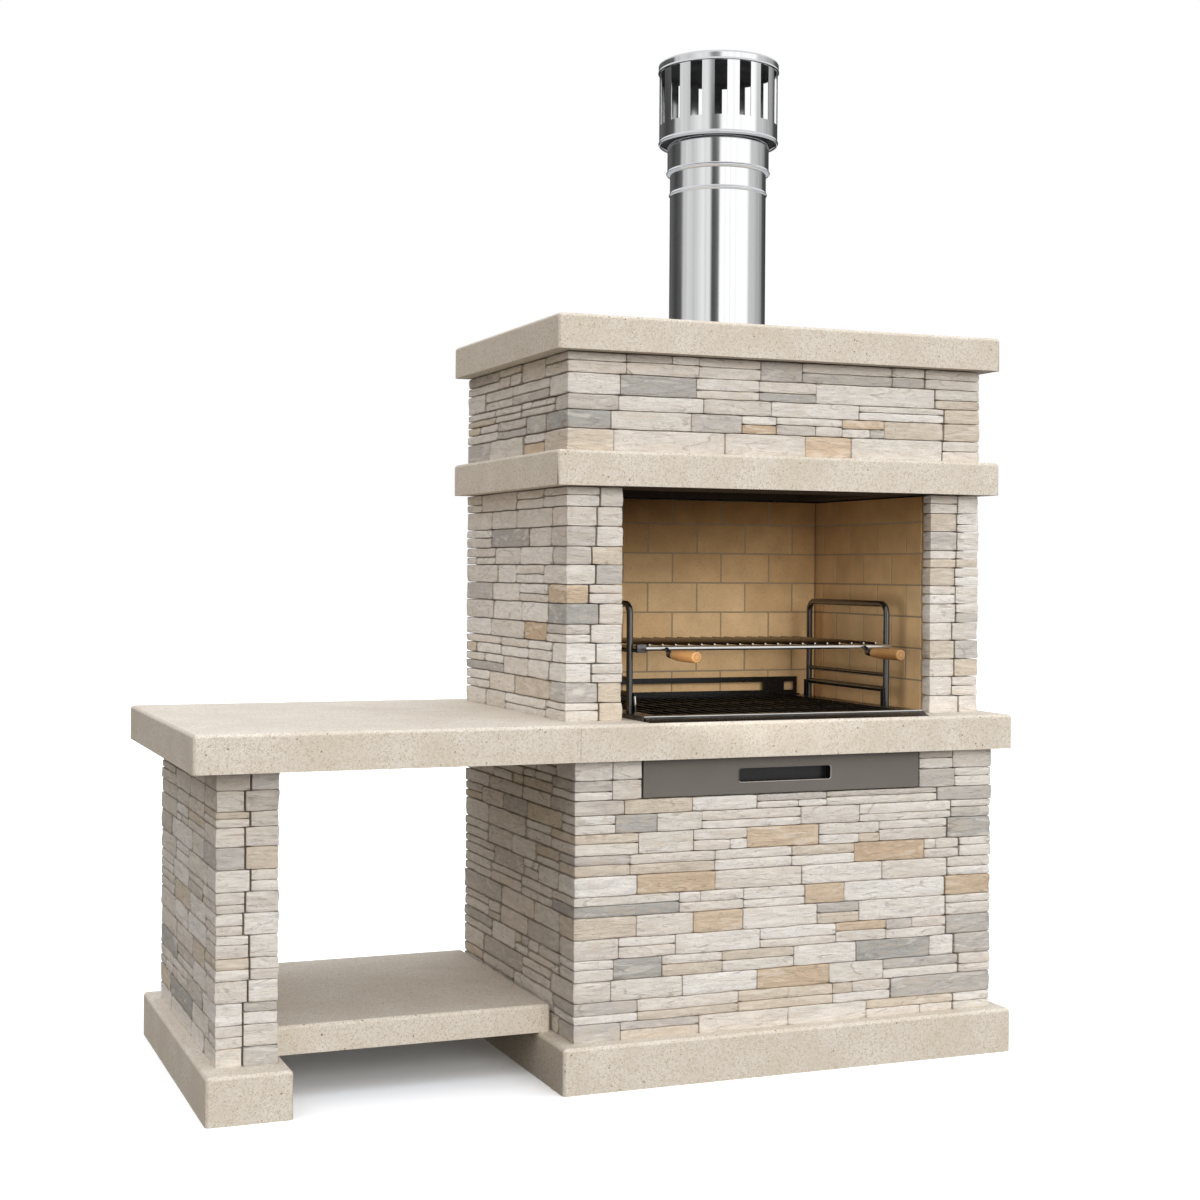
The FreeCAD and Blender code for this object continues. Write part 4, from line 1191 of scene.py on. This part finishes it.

# %% [markdown]
# ## Rim of the finger slot
# The edge of the slot is pressed over, so a thin rounded rim runs round the opening. Along the bottom
# and at the right end it gets a lighter finish, a painted highlight. A bent tube would be too round for
# pressed sheet. So a flat rounded rectangle is inset, its middle is taken out, and what is left gets its
# thickness.

# %% Slot rim
SLOT = Vector((245, 32)) * MM
SLOT_ROUND = 6 * MM
SLOT_SEGMENTS = 5
RIM = 2.2 * MM
RIM_RISE = 1.6 * MM
RIM_EDGE = 0.6 * MM
HIGHLIGHT_BELOW = -0.45 * SLOT.y
HIGHLIGHT_RIGHT_OF = 0.49 * SLOT.x


def slot_rim():
    low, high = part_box("drawer_front")
    centre = Vector(((low.x + high.x) / 2, low.y, (low.z + high.z) / 2))
    bm = bmesh.new()
    size = Matrix.Diagonal((SLOT.x + 2 * RIM, SLOT.y + 2 * RIM, 1, 1))
    upright = Matrix.Translation(centre) @ Matrix.Rotation(math.pi / 2, 4, "X") @ size
    bmesh.ops.create_grid(bm, x_segments=1, y_segments=1, size=0.5, matrix=upright)
    corners = list(bm.verts)
    bmesh.ops.bevel(bm, geom=corners, offset=SLOT_ROUND + RIM, affect="VERTICES", segments=SLOT_SEGMENTS,
                    profile=0.5, material=-1)
    bmesh.ops.inset_region(bm, faces=bm.faces, thickness=RIM, use_even_offset=True, use_boundary=True)
    bmesh.ops.delete(bm, geom=[max(bm.faces, key=lambda face: face.calc_area())], context="FACES")
    made = bmesh.ops.extrude_face_region(bm, geom=bm.faces)["geom"]
    bmesh.ops.translate(bm, verts=only_verts(made), vec=(0, -RIM_RISE, 0))
    bmesh.ops.recalc_face_normals(bm, faces=bm.faces)
    soften(bm, edges_turning(bm), RIM_EDGE)
    # The lower and right lips get the lighter finish: a painted highlight.
    for face in bm.faces:
        away = face.calc_center_median() - centre
        face.material_index = int(away.z < HIGHLIGHT_BELOW or away.x > HIGHLIGHT_RIGHT_OF)
    rim = finish_piece("drawer_slot_rim", bm, DRAWER_STEEL, "drawer_steel", "drawer", smooth=SHEET_SMOOTH)
    rim.data.materials.append(RIM_HIGHLIGHT_STEEL)
    return len(corners)


print("slot rim with", slot_rim(), "rounded corners")

# %% [markdown]
# ## Rings and rods
# Frames and grill are made of tube and round rod. A curve with a round bevel gives a tube too, but it
# has to be turned into a mesh afterwards. A ring of vertices that is pulled along and spun round each
# bend makes the tube at once, as the real one was bent, and a cone with two equal ends is a straight
# rod.

# %% Ring and rod helpers
ROUND_SIDES = 24


def facing(centre, way):
    """A place at the centre, with its Z axis along the way."""
    return Matrix.Translation(centre) @ Vector(way).to_track_quat("Z", "Y").to_matrix().to_4x4()


def ring(bm, centre, way, radius):
    circle = bmesh.ops.create_circle(bm, segments=ROUND_SIDES, radius=radius, matrix=facing(centre, way))
    return list({edge for vert in circle["verts"] for edge in vert.link_edges})


def open_ring(items):
    verts = set(only_verts(items))
    return [item for item in items if isinstance(item, bmesh.types.BMEdge) and set(item.verts) <= verts]


def pull(bm, edges, way):
    made = bmesh.ops.extrude_edge_only(bm, edges=edges)["geom"]
    bmesh.ops.translate(bm, verts=only_verts(made), vec=way)
    return open_ring(made)


def turn_ring(bm, edges, centre, axis, angle, steps=8):
    verts = list({vert for edge in edges for vert in edge.verts})
    made = bmesh.ops.spin(bm, geom=verts + edges, cent=centre, axis=axis, angle=angle, steps=steps)
    return open_ring(made["geom_last"])


def rod(bm, start, end, thickness, sides=ROUND_SIDES):
    start, end = Vector(start), Vector(end)
    bmesh.ops.create_cone(bm, cap_ends=True, segments=sides, radius1=thickness / 2, radius2=thickness / 2,
                          depth=(end - start).length, matrix=facing((start + end) / 2, end - start))


print("rings and rods with", ROUND_SIDES, "sides")

# %% [markdown]
# ## Grill frames
# Each frame is one steel tube bent twice, with two rails and an angle plate that carries the grill. In
# the solid the tube has few sides. Here it is drawn anew along the same line, up the first leg, round,
# back and down, so that the highlight runs smoothly through the bends.

# %% Grill frames
TUBE = 16 * MM
BEND = 26 * MM
LOW_RAIL = (42 * MM, 15 * MM)
MID_RAIL = (79 * MM, 10 * MM)
REST_TOP = 146 * MM
REST_SHEET = 3 * MM
ROD_SMOOTH = 35


def grill_frame(node, side):
    low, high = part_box(node)
    x = low.x + TUBE / 2 if side > 0 else high.x - TUBE / 2
    front, back, top = low.y + TUBE / 2, high.y - TUBE / 2, high.z - TUBE / 2
    bm = bmesh.new()
    foot = ring(bm, (x, front, low.z), (0, 0, 1), TUBE / 2)
    end = pull(bm, foot, (0, 0, top - BEND - low.z))
    end = turn_ring(bm, end, (x, front + BEND, top - BEND), (1, 0, 0), -math.pi / 2)
    end = pull(bm, end, (0, back - front - 2 * BEND, 0))
    end = turn_ring(bm, end, (x, back - BEND, top - BEND), (1, 0, 0), -math.pi / 2)
    end = pull(bm, end, (0, 0, low.z - top + BEND))
    for loop in (foot, end):
        bmesh.ops.contextual_create(bm, geom=loop)
    for height, thickness in (LOW_RAIL, MID_RAIL):
        rod(bm, (x, front, low.z + height), (x, back, low.z + height), thickness)
    inner = high.x if side > 0 else low.x
    level = low.z + REST_TOP
    add_box(bm, (min(x, inner), front, level - REST_SHEET), (max(x, inner), back, level))
    bmesh.ops.recalc_face_normals(bm, faces=bm.faces)
    finish_piece(node + "_bent", bm, FRAME_STEEL, "black_steel", replaces=[node], smooth=ROD_SMOOTH)


for node, side in (("left_grill_frame", 1), ("right_grill_frame", -1)):
    grill_frame(node, side)
print("frames: 2, tube", TUBE)

# %% [markdown]
# ## Painted highlight on the tray, and a bright stay
# Where the apron folds into the flange a rounded line of bright steel stands for the highlight that the
# fold catches. Beside the left front foot of the frames a short bright stay keeps the foot in its place.
# A line could be painted on the tray's finish, but only a rounded form catches light along its whole
# length. Both are plain rods.

# %% Tray highlight and stay
APRON = 35 * MM
TAB = 45 * MM
FOLD_HIGHLIGHT = 5 * MM
FOLD_SINK = 1.0 * MM
STAY = 6 * MM
STAY_TOP = Vector((10, -9, 38)) * MM
STAY_FOOT = Vector((13, -9, 1)) * MM


def tray_highlight_and_stay():
    low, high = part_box("fire_tray")
    bm = bmesh.new()
    # A bright rod along the fold: a painted highlight on the tray's edge.
    fold = Vector((0, low.y + APRON, high.z - TAB - FOLD_SINK))
    rod(bm, fold + Vector((low.x, 0, 0)), fold + Vector((high.x, 0, 0)), FOLD_HIGHLIGHT)
    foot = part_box("left_grill_frame")[0] + Vector((TUBE / 2, TUBE / 2, 0))
    rod(bm, foot + STAY_FOOT, foot + STAY_TOP, STAY)
    soften(bm, edges_turning(bm), FOLD_SINK)
    finish_piece("tray_highlight_and_stay", bm, GRILL_STEEL, "black_steel", smooth=ROD_SMOOTH)


tray_highlight_and_stay()
print("tray trim: one fold, one stay")

# %% [markdown]
# ## Cooking grill
# Round stainless rods: a frame of four, a row of thinner bars across it, and a lug at the left corner.
# The bars are browned by heat, and their front ends get bright steel as a painted highlight. An Array
# modifier could repeat one bar. A loop does the same inside one mesh, where the faces of the ends can
# then be given another finish. Each loose end gets a small round.

# %% Cooking grill
END_ROD = 11 * MM
SIDE_ROD = 12 * MM
ROD_OVERHANG = 6 * MM
FRONT_REACH = 24 * MM
BAR = 5 * MM
BARS = 19
BAR_SIDES = 16
BAR_MARGIN = 21 * MM
BAR_OVERHANG = 4 * MM
LUG = Vector((24, 12, 20)) * MM
ROD_ROUND = 1.2 * MM
rods_low, rods_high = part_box("cooking_grill_frame")
bars_low, bars_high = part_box("cooking_grill_bars")
rods_left, rods_right = rods_low.x + LUG.x / 2, rods_high.x - FRONT_REACH
rods_level = (rods_low.z + rods_high.z) / 2


def grill_rods():
    front, back = bars_low.y + BAR_OVERHANG, bars_high.y - BAR_OVERHANG
    bm = bmesh.new()
    for y, end in ((front, rods_high.x), (back, rods_right + ROD_OVERHANG)):
        rod(bm, (rods_left - ROD_OVERHANG, y, rods_level), (end, y, rods_level), END_ROD)
    for x in (rods_left, rods_right):
        rod(bm, (x, front, rods_level), (x, back, rods_level), SIDE_ROD)
    soften(bm, edges_turning(bm), ROD_ROUND)
    finish_piece("grill_rods", bm, GRILL_STEEL, "grill_steel", "cooking_grill", ["cooking_grill_frame"],
                 smooth=ROD_SMOOTH)
    lug = bmesh.new()
    corner = Vector((rods_low.x, front - LUG.y / 2, rods_level - LUG.z / 2))
    add_box(lug, corner, corner + LUG)
    soften(lug, edges_turning(lug), ROD_ROUND)
    finish_piece("grill_lug", lug, FRAME_STEEL, "grill_steel", "cooking_grill")


def grill_bars():
    bm = bmesh.new()
    level = (bars_low.z + bars_high.z) / 2
    first, last = rods_left + BAR_MARGIN, rods_right - BAR_MARGIN
    for index in range(BARS):
        x = first + (last - first) * index / (BARS - 1)
        rod(bm, (x, bars_low.y, level), (x, bars_high.y, level), BAR, BAR_SIDES)
    soften(bm, edges_turning(bm), ROD_ROUND)
    # The front ends of the bars take the bright grill steel: a painted highlight.
    for face in bm.faces:
        face.material_index = int(face.calc_center_median().y < bars_low.y + BAR)
    bars = finish_piece("grill_bars", bm, BURNT_STEEL, "grill_steel", "cooking_grill", ["cooking_grill_bars"],
                        smooth=ROD_SMOOTH)
    bars.data.materials.append(GRILL_STEEL)


grill_rods()
grill_bars()
print("grill bars:", BARS)

# %% [markdown]
# ## Handle wood
# The grips are beech, turned on a lathe and oiled. A wood pattern on Object coordinates would cut both
# grips from one plank. So each grip's vertices carry a place of their own, measured from its axis, and
# the year rings run round the stick and show as circles on its end. Fine fibres along the stick vary
# its colour and its shine.

# %% Handle wood
ALONG_GRIP = (1.0, 0.05, 1.0)
RING_DARK = tone(160, 115, 69)
RING_LIGHT = tone(188, 145, 95)
FIBRE_BROWN = tone(146, 101, 58)


def handle_wood():
    made, tree, shader = new_material("handle wood")
    along = stretched(tree, attribute(tree, "grain_place")["Vector"], ALONG_GRIP)
    rings = add(tree, "TexWave", {"wave_type": "RINGS", "rings_direction": "Y"}, Vector=along, Scale=46.0,
                Distortion=2.0, Detail=2.0, Detail_Scale=1.5).outputs["Fac"]
    fibres = add(tree, "TexNoise", Vector=along, Scale=900.0, Detail=3.0).outputs[0]
    colour = mix(tree, rings, RING_DARK, RING_LIGHT)
    colour = mix(tree, ramp(tree, fibres, (0.35, 0.0), (0.65, 0.4)), colour, FIBRE_BROWN)
    set_sockets(tree, shader, Base_Color=colour, Normal=bump(tree, fibres, 0.15, 0.4 * MM),
                Roughness=ramp(tree, fibres, (0.3, 0.36), (0.7, 0.52)))
    return made


HANDLE_WOOD = handle_wood()
print("finish:", HANDLE_WOOD.name)

# %% [markdown]
# ## Handles
# Each handle is a steel tang with a ferrule, and a grip that swells from its neck to a full round. A
# cylinder could be scaled ring by ring. Spinning half a profile about its axis is simpler, and it is
# what a lathe does. The same helper makes the pipes of the flue later on.

# %% Turning helper


def spun(profile, foot, axis, steps=64, closed=False, start=0.0):
    """A profile of (radius, way along the axis) turned once round the axis through the foot."""
    bm = bmesh.new()
    axis, foot = Vector(axis), Vector(foot)
    side = Matrix.Rotation(start, 3, axis) @ Vector((1, 0, 0))
    verts = [bm.verts.new(foot + side * radius + axis * along) for radius, along in profile]
    pairs = list(zip(verts, verts[1:])) + ([(verts[-1], verts[0])] if closed else [])
    edges = [bm.edges.new(pair) for pair in pairs]
    bmesh.ops.spin(bm, geom=verts + edges, cent=foot, axis=axis, angle=2 * math.pi, steps=steps,
                   use_merge=True)
    bmesh.ops.remove_doubles(bm, verts=bm.verts, dist=SAME_SPOT)
    bmesh.ops.recalc_face_normals(bm, faces=bm.faces)
    return bm


print("turning helper: spun")

# %% Handles
FORWARD = (0, -1, 0)
TANG = 11 * MM
FERRULE = 18 * MM
FERRULE_TIP = 14 * MM
FERRULE_LENGTH = 30 * MM
FERRULE_STEPS = 32
NECK = 22 * MM
BELLY_AT = 45 * MM
GRIP_STEPS = 48
END_ROUND = 4.5 * MM
END_SEGMENTS = 4
PITH = Vector((0.6, 0.0, -0.8)) * MM


def handle(side):
    low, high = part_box(side + "_handle_tang")
    root = Vector(((low.x + high.x) / 2, high.y, high.z - TANG / 2))
    ferrule = Vector((root.x, low.y + FERRULE_LENGTH, low.z + FERRULE / 2))
    tang = spun([(0, 0), (FERRULE_TIP / 2, 0), (FERRULE / 2, FERRULE_LENGTH / 2),
                 (FERRULE / 2, FERRULE_LENGTH), (0, FERRULE_LENGTH)], ferrule, FORWARD, FERRULE_STEPS)
    rod(tang, root, ferrule - Vector((0, FERRULE_LENGTH / 2, 0)), TANG)
    soften(tang, edges_turning(tang), ROD_ROUND)
    finish_piece(side + "_tang", tang, FRAME_STEEL, "grill_steel", "cooking_grill", [side + "_handle_tang"])
    low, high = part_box(side + "_handle_grip")
    root, length = Vector((root.x, high.y, (low.z + high.z) / 2)), high.y - low.y
    radius = (high.z - low.z) / 2
    grip = spun([(0, 0), (NECK / 2, 0), (radius, BELLY_AT), (radius, length), (0, length)], root, FORWARD,
                GRIP_STEPS)
    soften(grip, edges_turning(grip), END_ROUND, END_SEGMENTS)
    place = grip.verts.layers.float_vector.new("grain_place")
    for vert in grip.verts:
        vert[place] = vert.co - root + PITH
    finish_piece(side + "_grip", grip, HANDLE_WOOD, "handle_wood", "cooking_grill", [side + "_handle_grip"])


for side in ("left", "right"):
    handle(side)

# %% [markdown]
# ## Flue
# Sheet is rolled into a pipe with a pressed bead, and a wider socket sits on it. A plain cylinder has
# no thickness where one looks into it. So each profile is the closed outline of the sheet, and a spin
# gives a wall with a real thickness. The bead is a soft wave in the profile, because pressed sheet has
# no sharp step.

# %% Flue
UPWARD = (0, 0, 1)
FLUE_STEPS = 96
FLUE_RADIUS = 125 * MM
SOCKET_RADIUS = 132 * MM
SOCKET_NECK = (15 * MM, 17 * MM)
SHEET = 2 * MM
CLEARANCE = 0.3 * MM
BEAD = 11 * MM
BEAD_RISE = 3 * MM
BEAD_POINTS = 8
BEAD_DROP = 66 * MM
EASE = 1 * MM
PIPE_SMOOTH = 50


def bead(radius, level, rise=BEAD_RISE):
    """A pressed bead as points of a profile: a soft wave out of the wall and back, with a short run of wall
    before and after it, so that the shading of the wall stays straight."""
    wave = [(radius + rise * math.sin(math.pi * step / BEAD_POINTS) ** 2,
             level + BEAD * (step / BEAD_POINTS - 0.5)) for step in range(BEAD_POINTS + 1)]
    return [(radius, wave[0][1] - EASE), *wave, (radius, wave[-1][1] + EASE)]


def flue():
    low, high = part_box("flue_pipe")
    centre = Vector(((low.x + high.x) / 2, (low.y + high.y) / 2, 0))
    level = high.z - BEAD_DROP
    pipe = spun([(FLUE_RADIUS - SHEET, low.z), (FLUE_RADIUS, low.z), *bead(FLUE_RADIUS, level),
                 (FLUE_RADIUS, high.z), (FLUE_RADIUS - SHEET, high.z)], centre, UPWARD, FLUE_STEPS, True)
    finish_piece("flue_pipe_rolled", pipe, STAINLESS, "stainless", replaces=["flue_pipe"], smooth=PIPE_SMOOTH)
    low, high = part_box("flue_socket")
    neck, inner = FLUE_RADIUS + CLEARANCE, SOCKET_RADIUS - SHEET
    socket = spun([(neck, low.z), *bead(SOCKET_RADIUS, low.z + BEAD / 2)[2:], (SOCKET_RADIUS, high.z),
                   (inner, high.z), (inner, low.z + SOCKET_NECK[1]), (neck, low.z + SOCKET_NECK[0])],
                  centre, UPWARD, FLUE_STEPS, True)
    finish_piece("flue_socket_rolled", socket, STAINLESS, "stainless", replaces=["flue_socket"],
                 smooth=PIPE_SMOOTH)
    return centre


flue_centre = flue()
print("flue at", tuple(round(n, 3) for n in flue_centre))

# %% [markdown]
# ## Cowl drum
# The drum on the flue has tall slots that let smoke out sideways. Cutting them with a boolean would
# leave ragged edges in a thin wall. Instead the spin has three steps in each slot and post, the faces
# of the slots are taken out, and only then does the drum get its wall. Its floor lies in shade inside
# the drum, and its near-black finish paints that shade.

# %% Cowl drum
SLOTS = 15
STEPS_PER_SLOT = 6
COWL_TURN = math.radians(-5)
DRUM_RADIUS = 154 * MM
DRUM_BEAD_RISE = 2.2 * MM
DRUM_LIP = 7 * MM
DRUM_BAND = 49 * MM
TOP_RING = 9 * MM
THROAT = 131 * MM


def cowl_drum():
    low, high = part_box("cowl_drum")
    pitch = 2 * math.pi / SLOTS
    start = COWL_TURN + pitch / 4
    slot_low, slot_high = low.z + DRUM_BAND, high.z - TOP_RING
    profile = [*bead(DRUM_RADIUS, low.z + BEAD / 2, DRUM_BEAD_RISE)[1:], (DRUM_RADIUS, slot_low),
               (DRUM_RADIUS, slot_high), (DRUM_RADIUS, high.z)]
    drum = spun(profile, flue_centre, UPWARD, STEPS_PER_SLOT * SLOTS, start=start)
    open_faces = []
    for face in drum.faces:
        middle = face.calc_center_median() - flue_centre
        turn = (math.atan2(middle.y, middle.x) - start) % pitch
        if slot_low < middle.z < slot_high and turn < pitch / 2:
            open_faces.append(face)
    bmesh.ops.delete(drum, geom=open_faces, context="FACES")
    bmesh.ops.solidify(drum, geom=drum.faces, thickness=SHEET)
    finish_piece("cowl_drum_slotted", drum, STAINLESS, "stainless", replaces=["cowl_drum"],
                 smooth=PIPE_SMOOTH)
    floor = low.z + DRUM_LIP
    inner = DRUM_RADIUS - SHEET
    plate = spun([(THROAT, floor), (inner, floor), (inner, floor + SHEET), (THROAT, floor + SHEET)],
                 flue_centre, UPWARD, FLUE_STEPS, True)
    # The cowl floor lies in shade inside the drum; its near-black finish paints that shade.
    finish_piece("cowl_floor", plate, SHADE_STEEL, "stainless")


cowl_drum()
print("cowl slots:", SLOTS)

# %% [markdown]
# ## Cowl lid
# A pressed lid keeps the rain out. It has a rolled lip, a rounded shoulder and a slightly crowned top,
# and it is dished below. One profile from the middle of the underside, out round the lip and back over
# the top makes it all. It has three finishes: bright on the rim, dull on the weathered top, and painted
# shade below.

# %% Cowl lid
LID_RADIUS = 156.5 * MM
LID_DISH = 8 * MM
LID_CROWN = 0.6
SHADED_BELOW = -0.3
DULL_ABOVE = 0.9


def lid_profile(low, high):
    inner, lip = DRUM_RADIUS + CLEARANCE, LID_RADIUS + EASE
    underside = [(0, high - LID_DISH), (inner, high - 2 * LID_DISH), (inner, low)]
    rim = [(lip, low), (lip, low + 2 * EASE), (LID_RADIUS, low + 4 * EASE), (LID_RADIUS, low + 5 * EASE),
           (LID_RADIUS, high - 7 * EASE), (LID_RADIUS, high - 6 * EASE)]
    shoulder = [(LID_RADIUS - 1.5 * EASE, high - 2.5 * EASE), (LID_RADIUS - 5 * EASE, high - EASE)]
    return underside + rim + shoulder + [(LID_RADIUS * LID_CROWN, high), (0, high)]


def cowl_lid():
    low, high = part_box("cowl_lid")
    lid = spun(lid_profile(low.z, high.z), flue_centre, UPWARD, FLUE_STEPS)
    piece = finish_piece("cowl_lid_pressed", lid, STAINLESS, "stainless", replaces=["cowl_lid"],
                         smooth=PIPE_SMOOTH)
    piece.data.materials.append(SHADE_STEEL)
    piece.data.materials.append(DULL_STEEL)
    for face in piece.data.polygons:
        # Faces that look down get the near-black finish, painted shade under the lid; faces that look up get
        # the dull finish.
        face.material_index = 1 if face.normal.z < SHADED_BELOW else 2 if face.normal.z > DULL_ABOVE else 0
    return piece


print("lid faces:", len(cowl_lid().data.polygons))
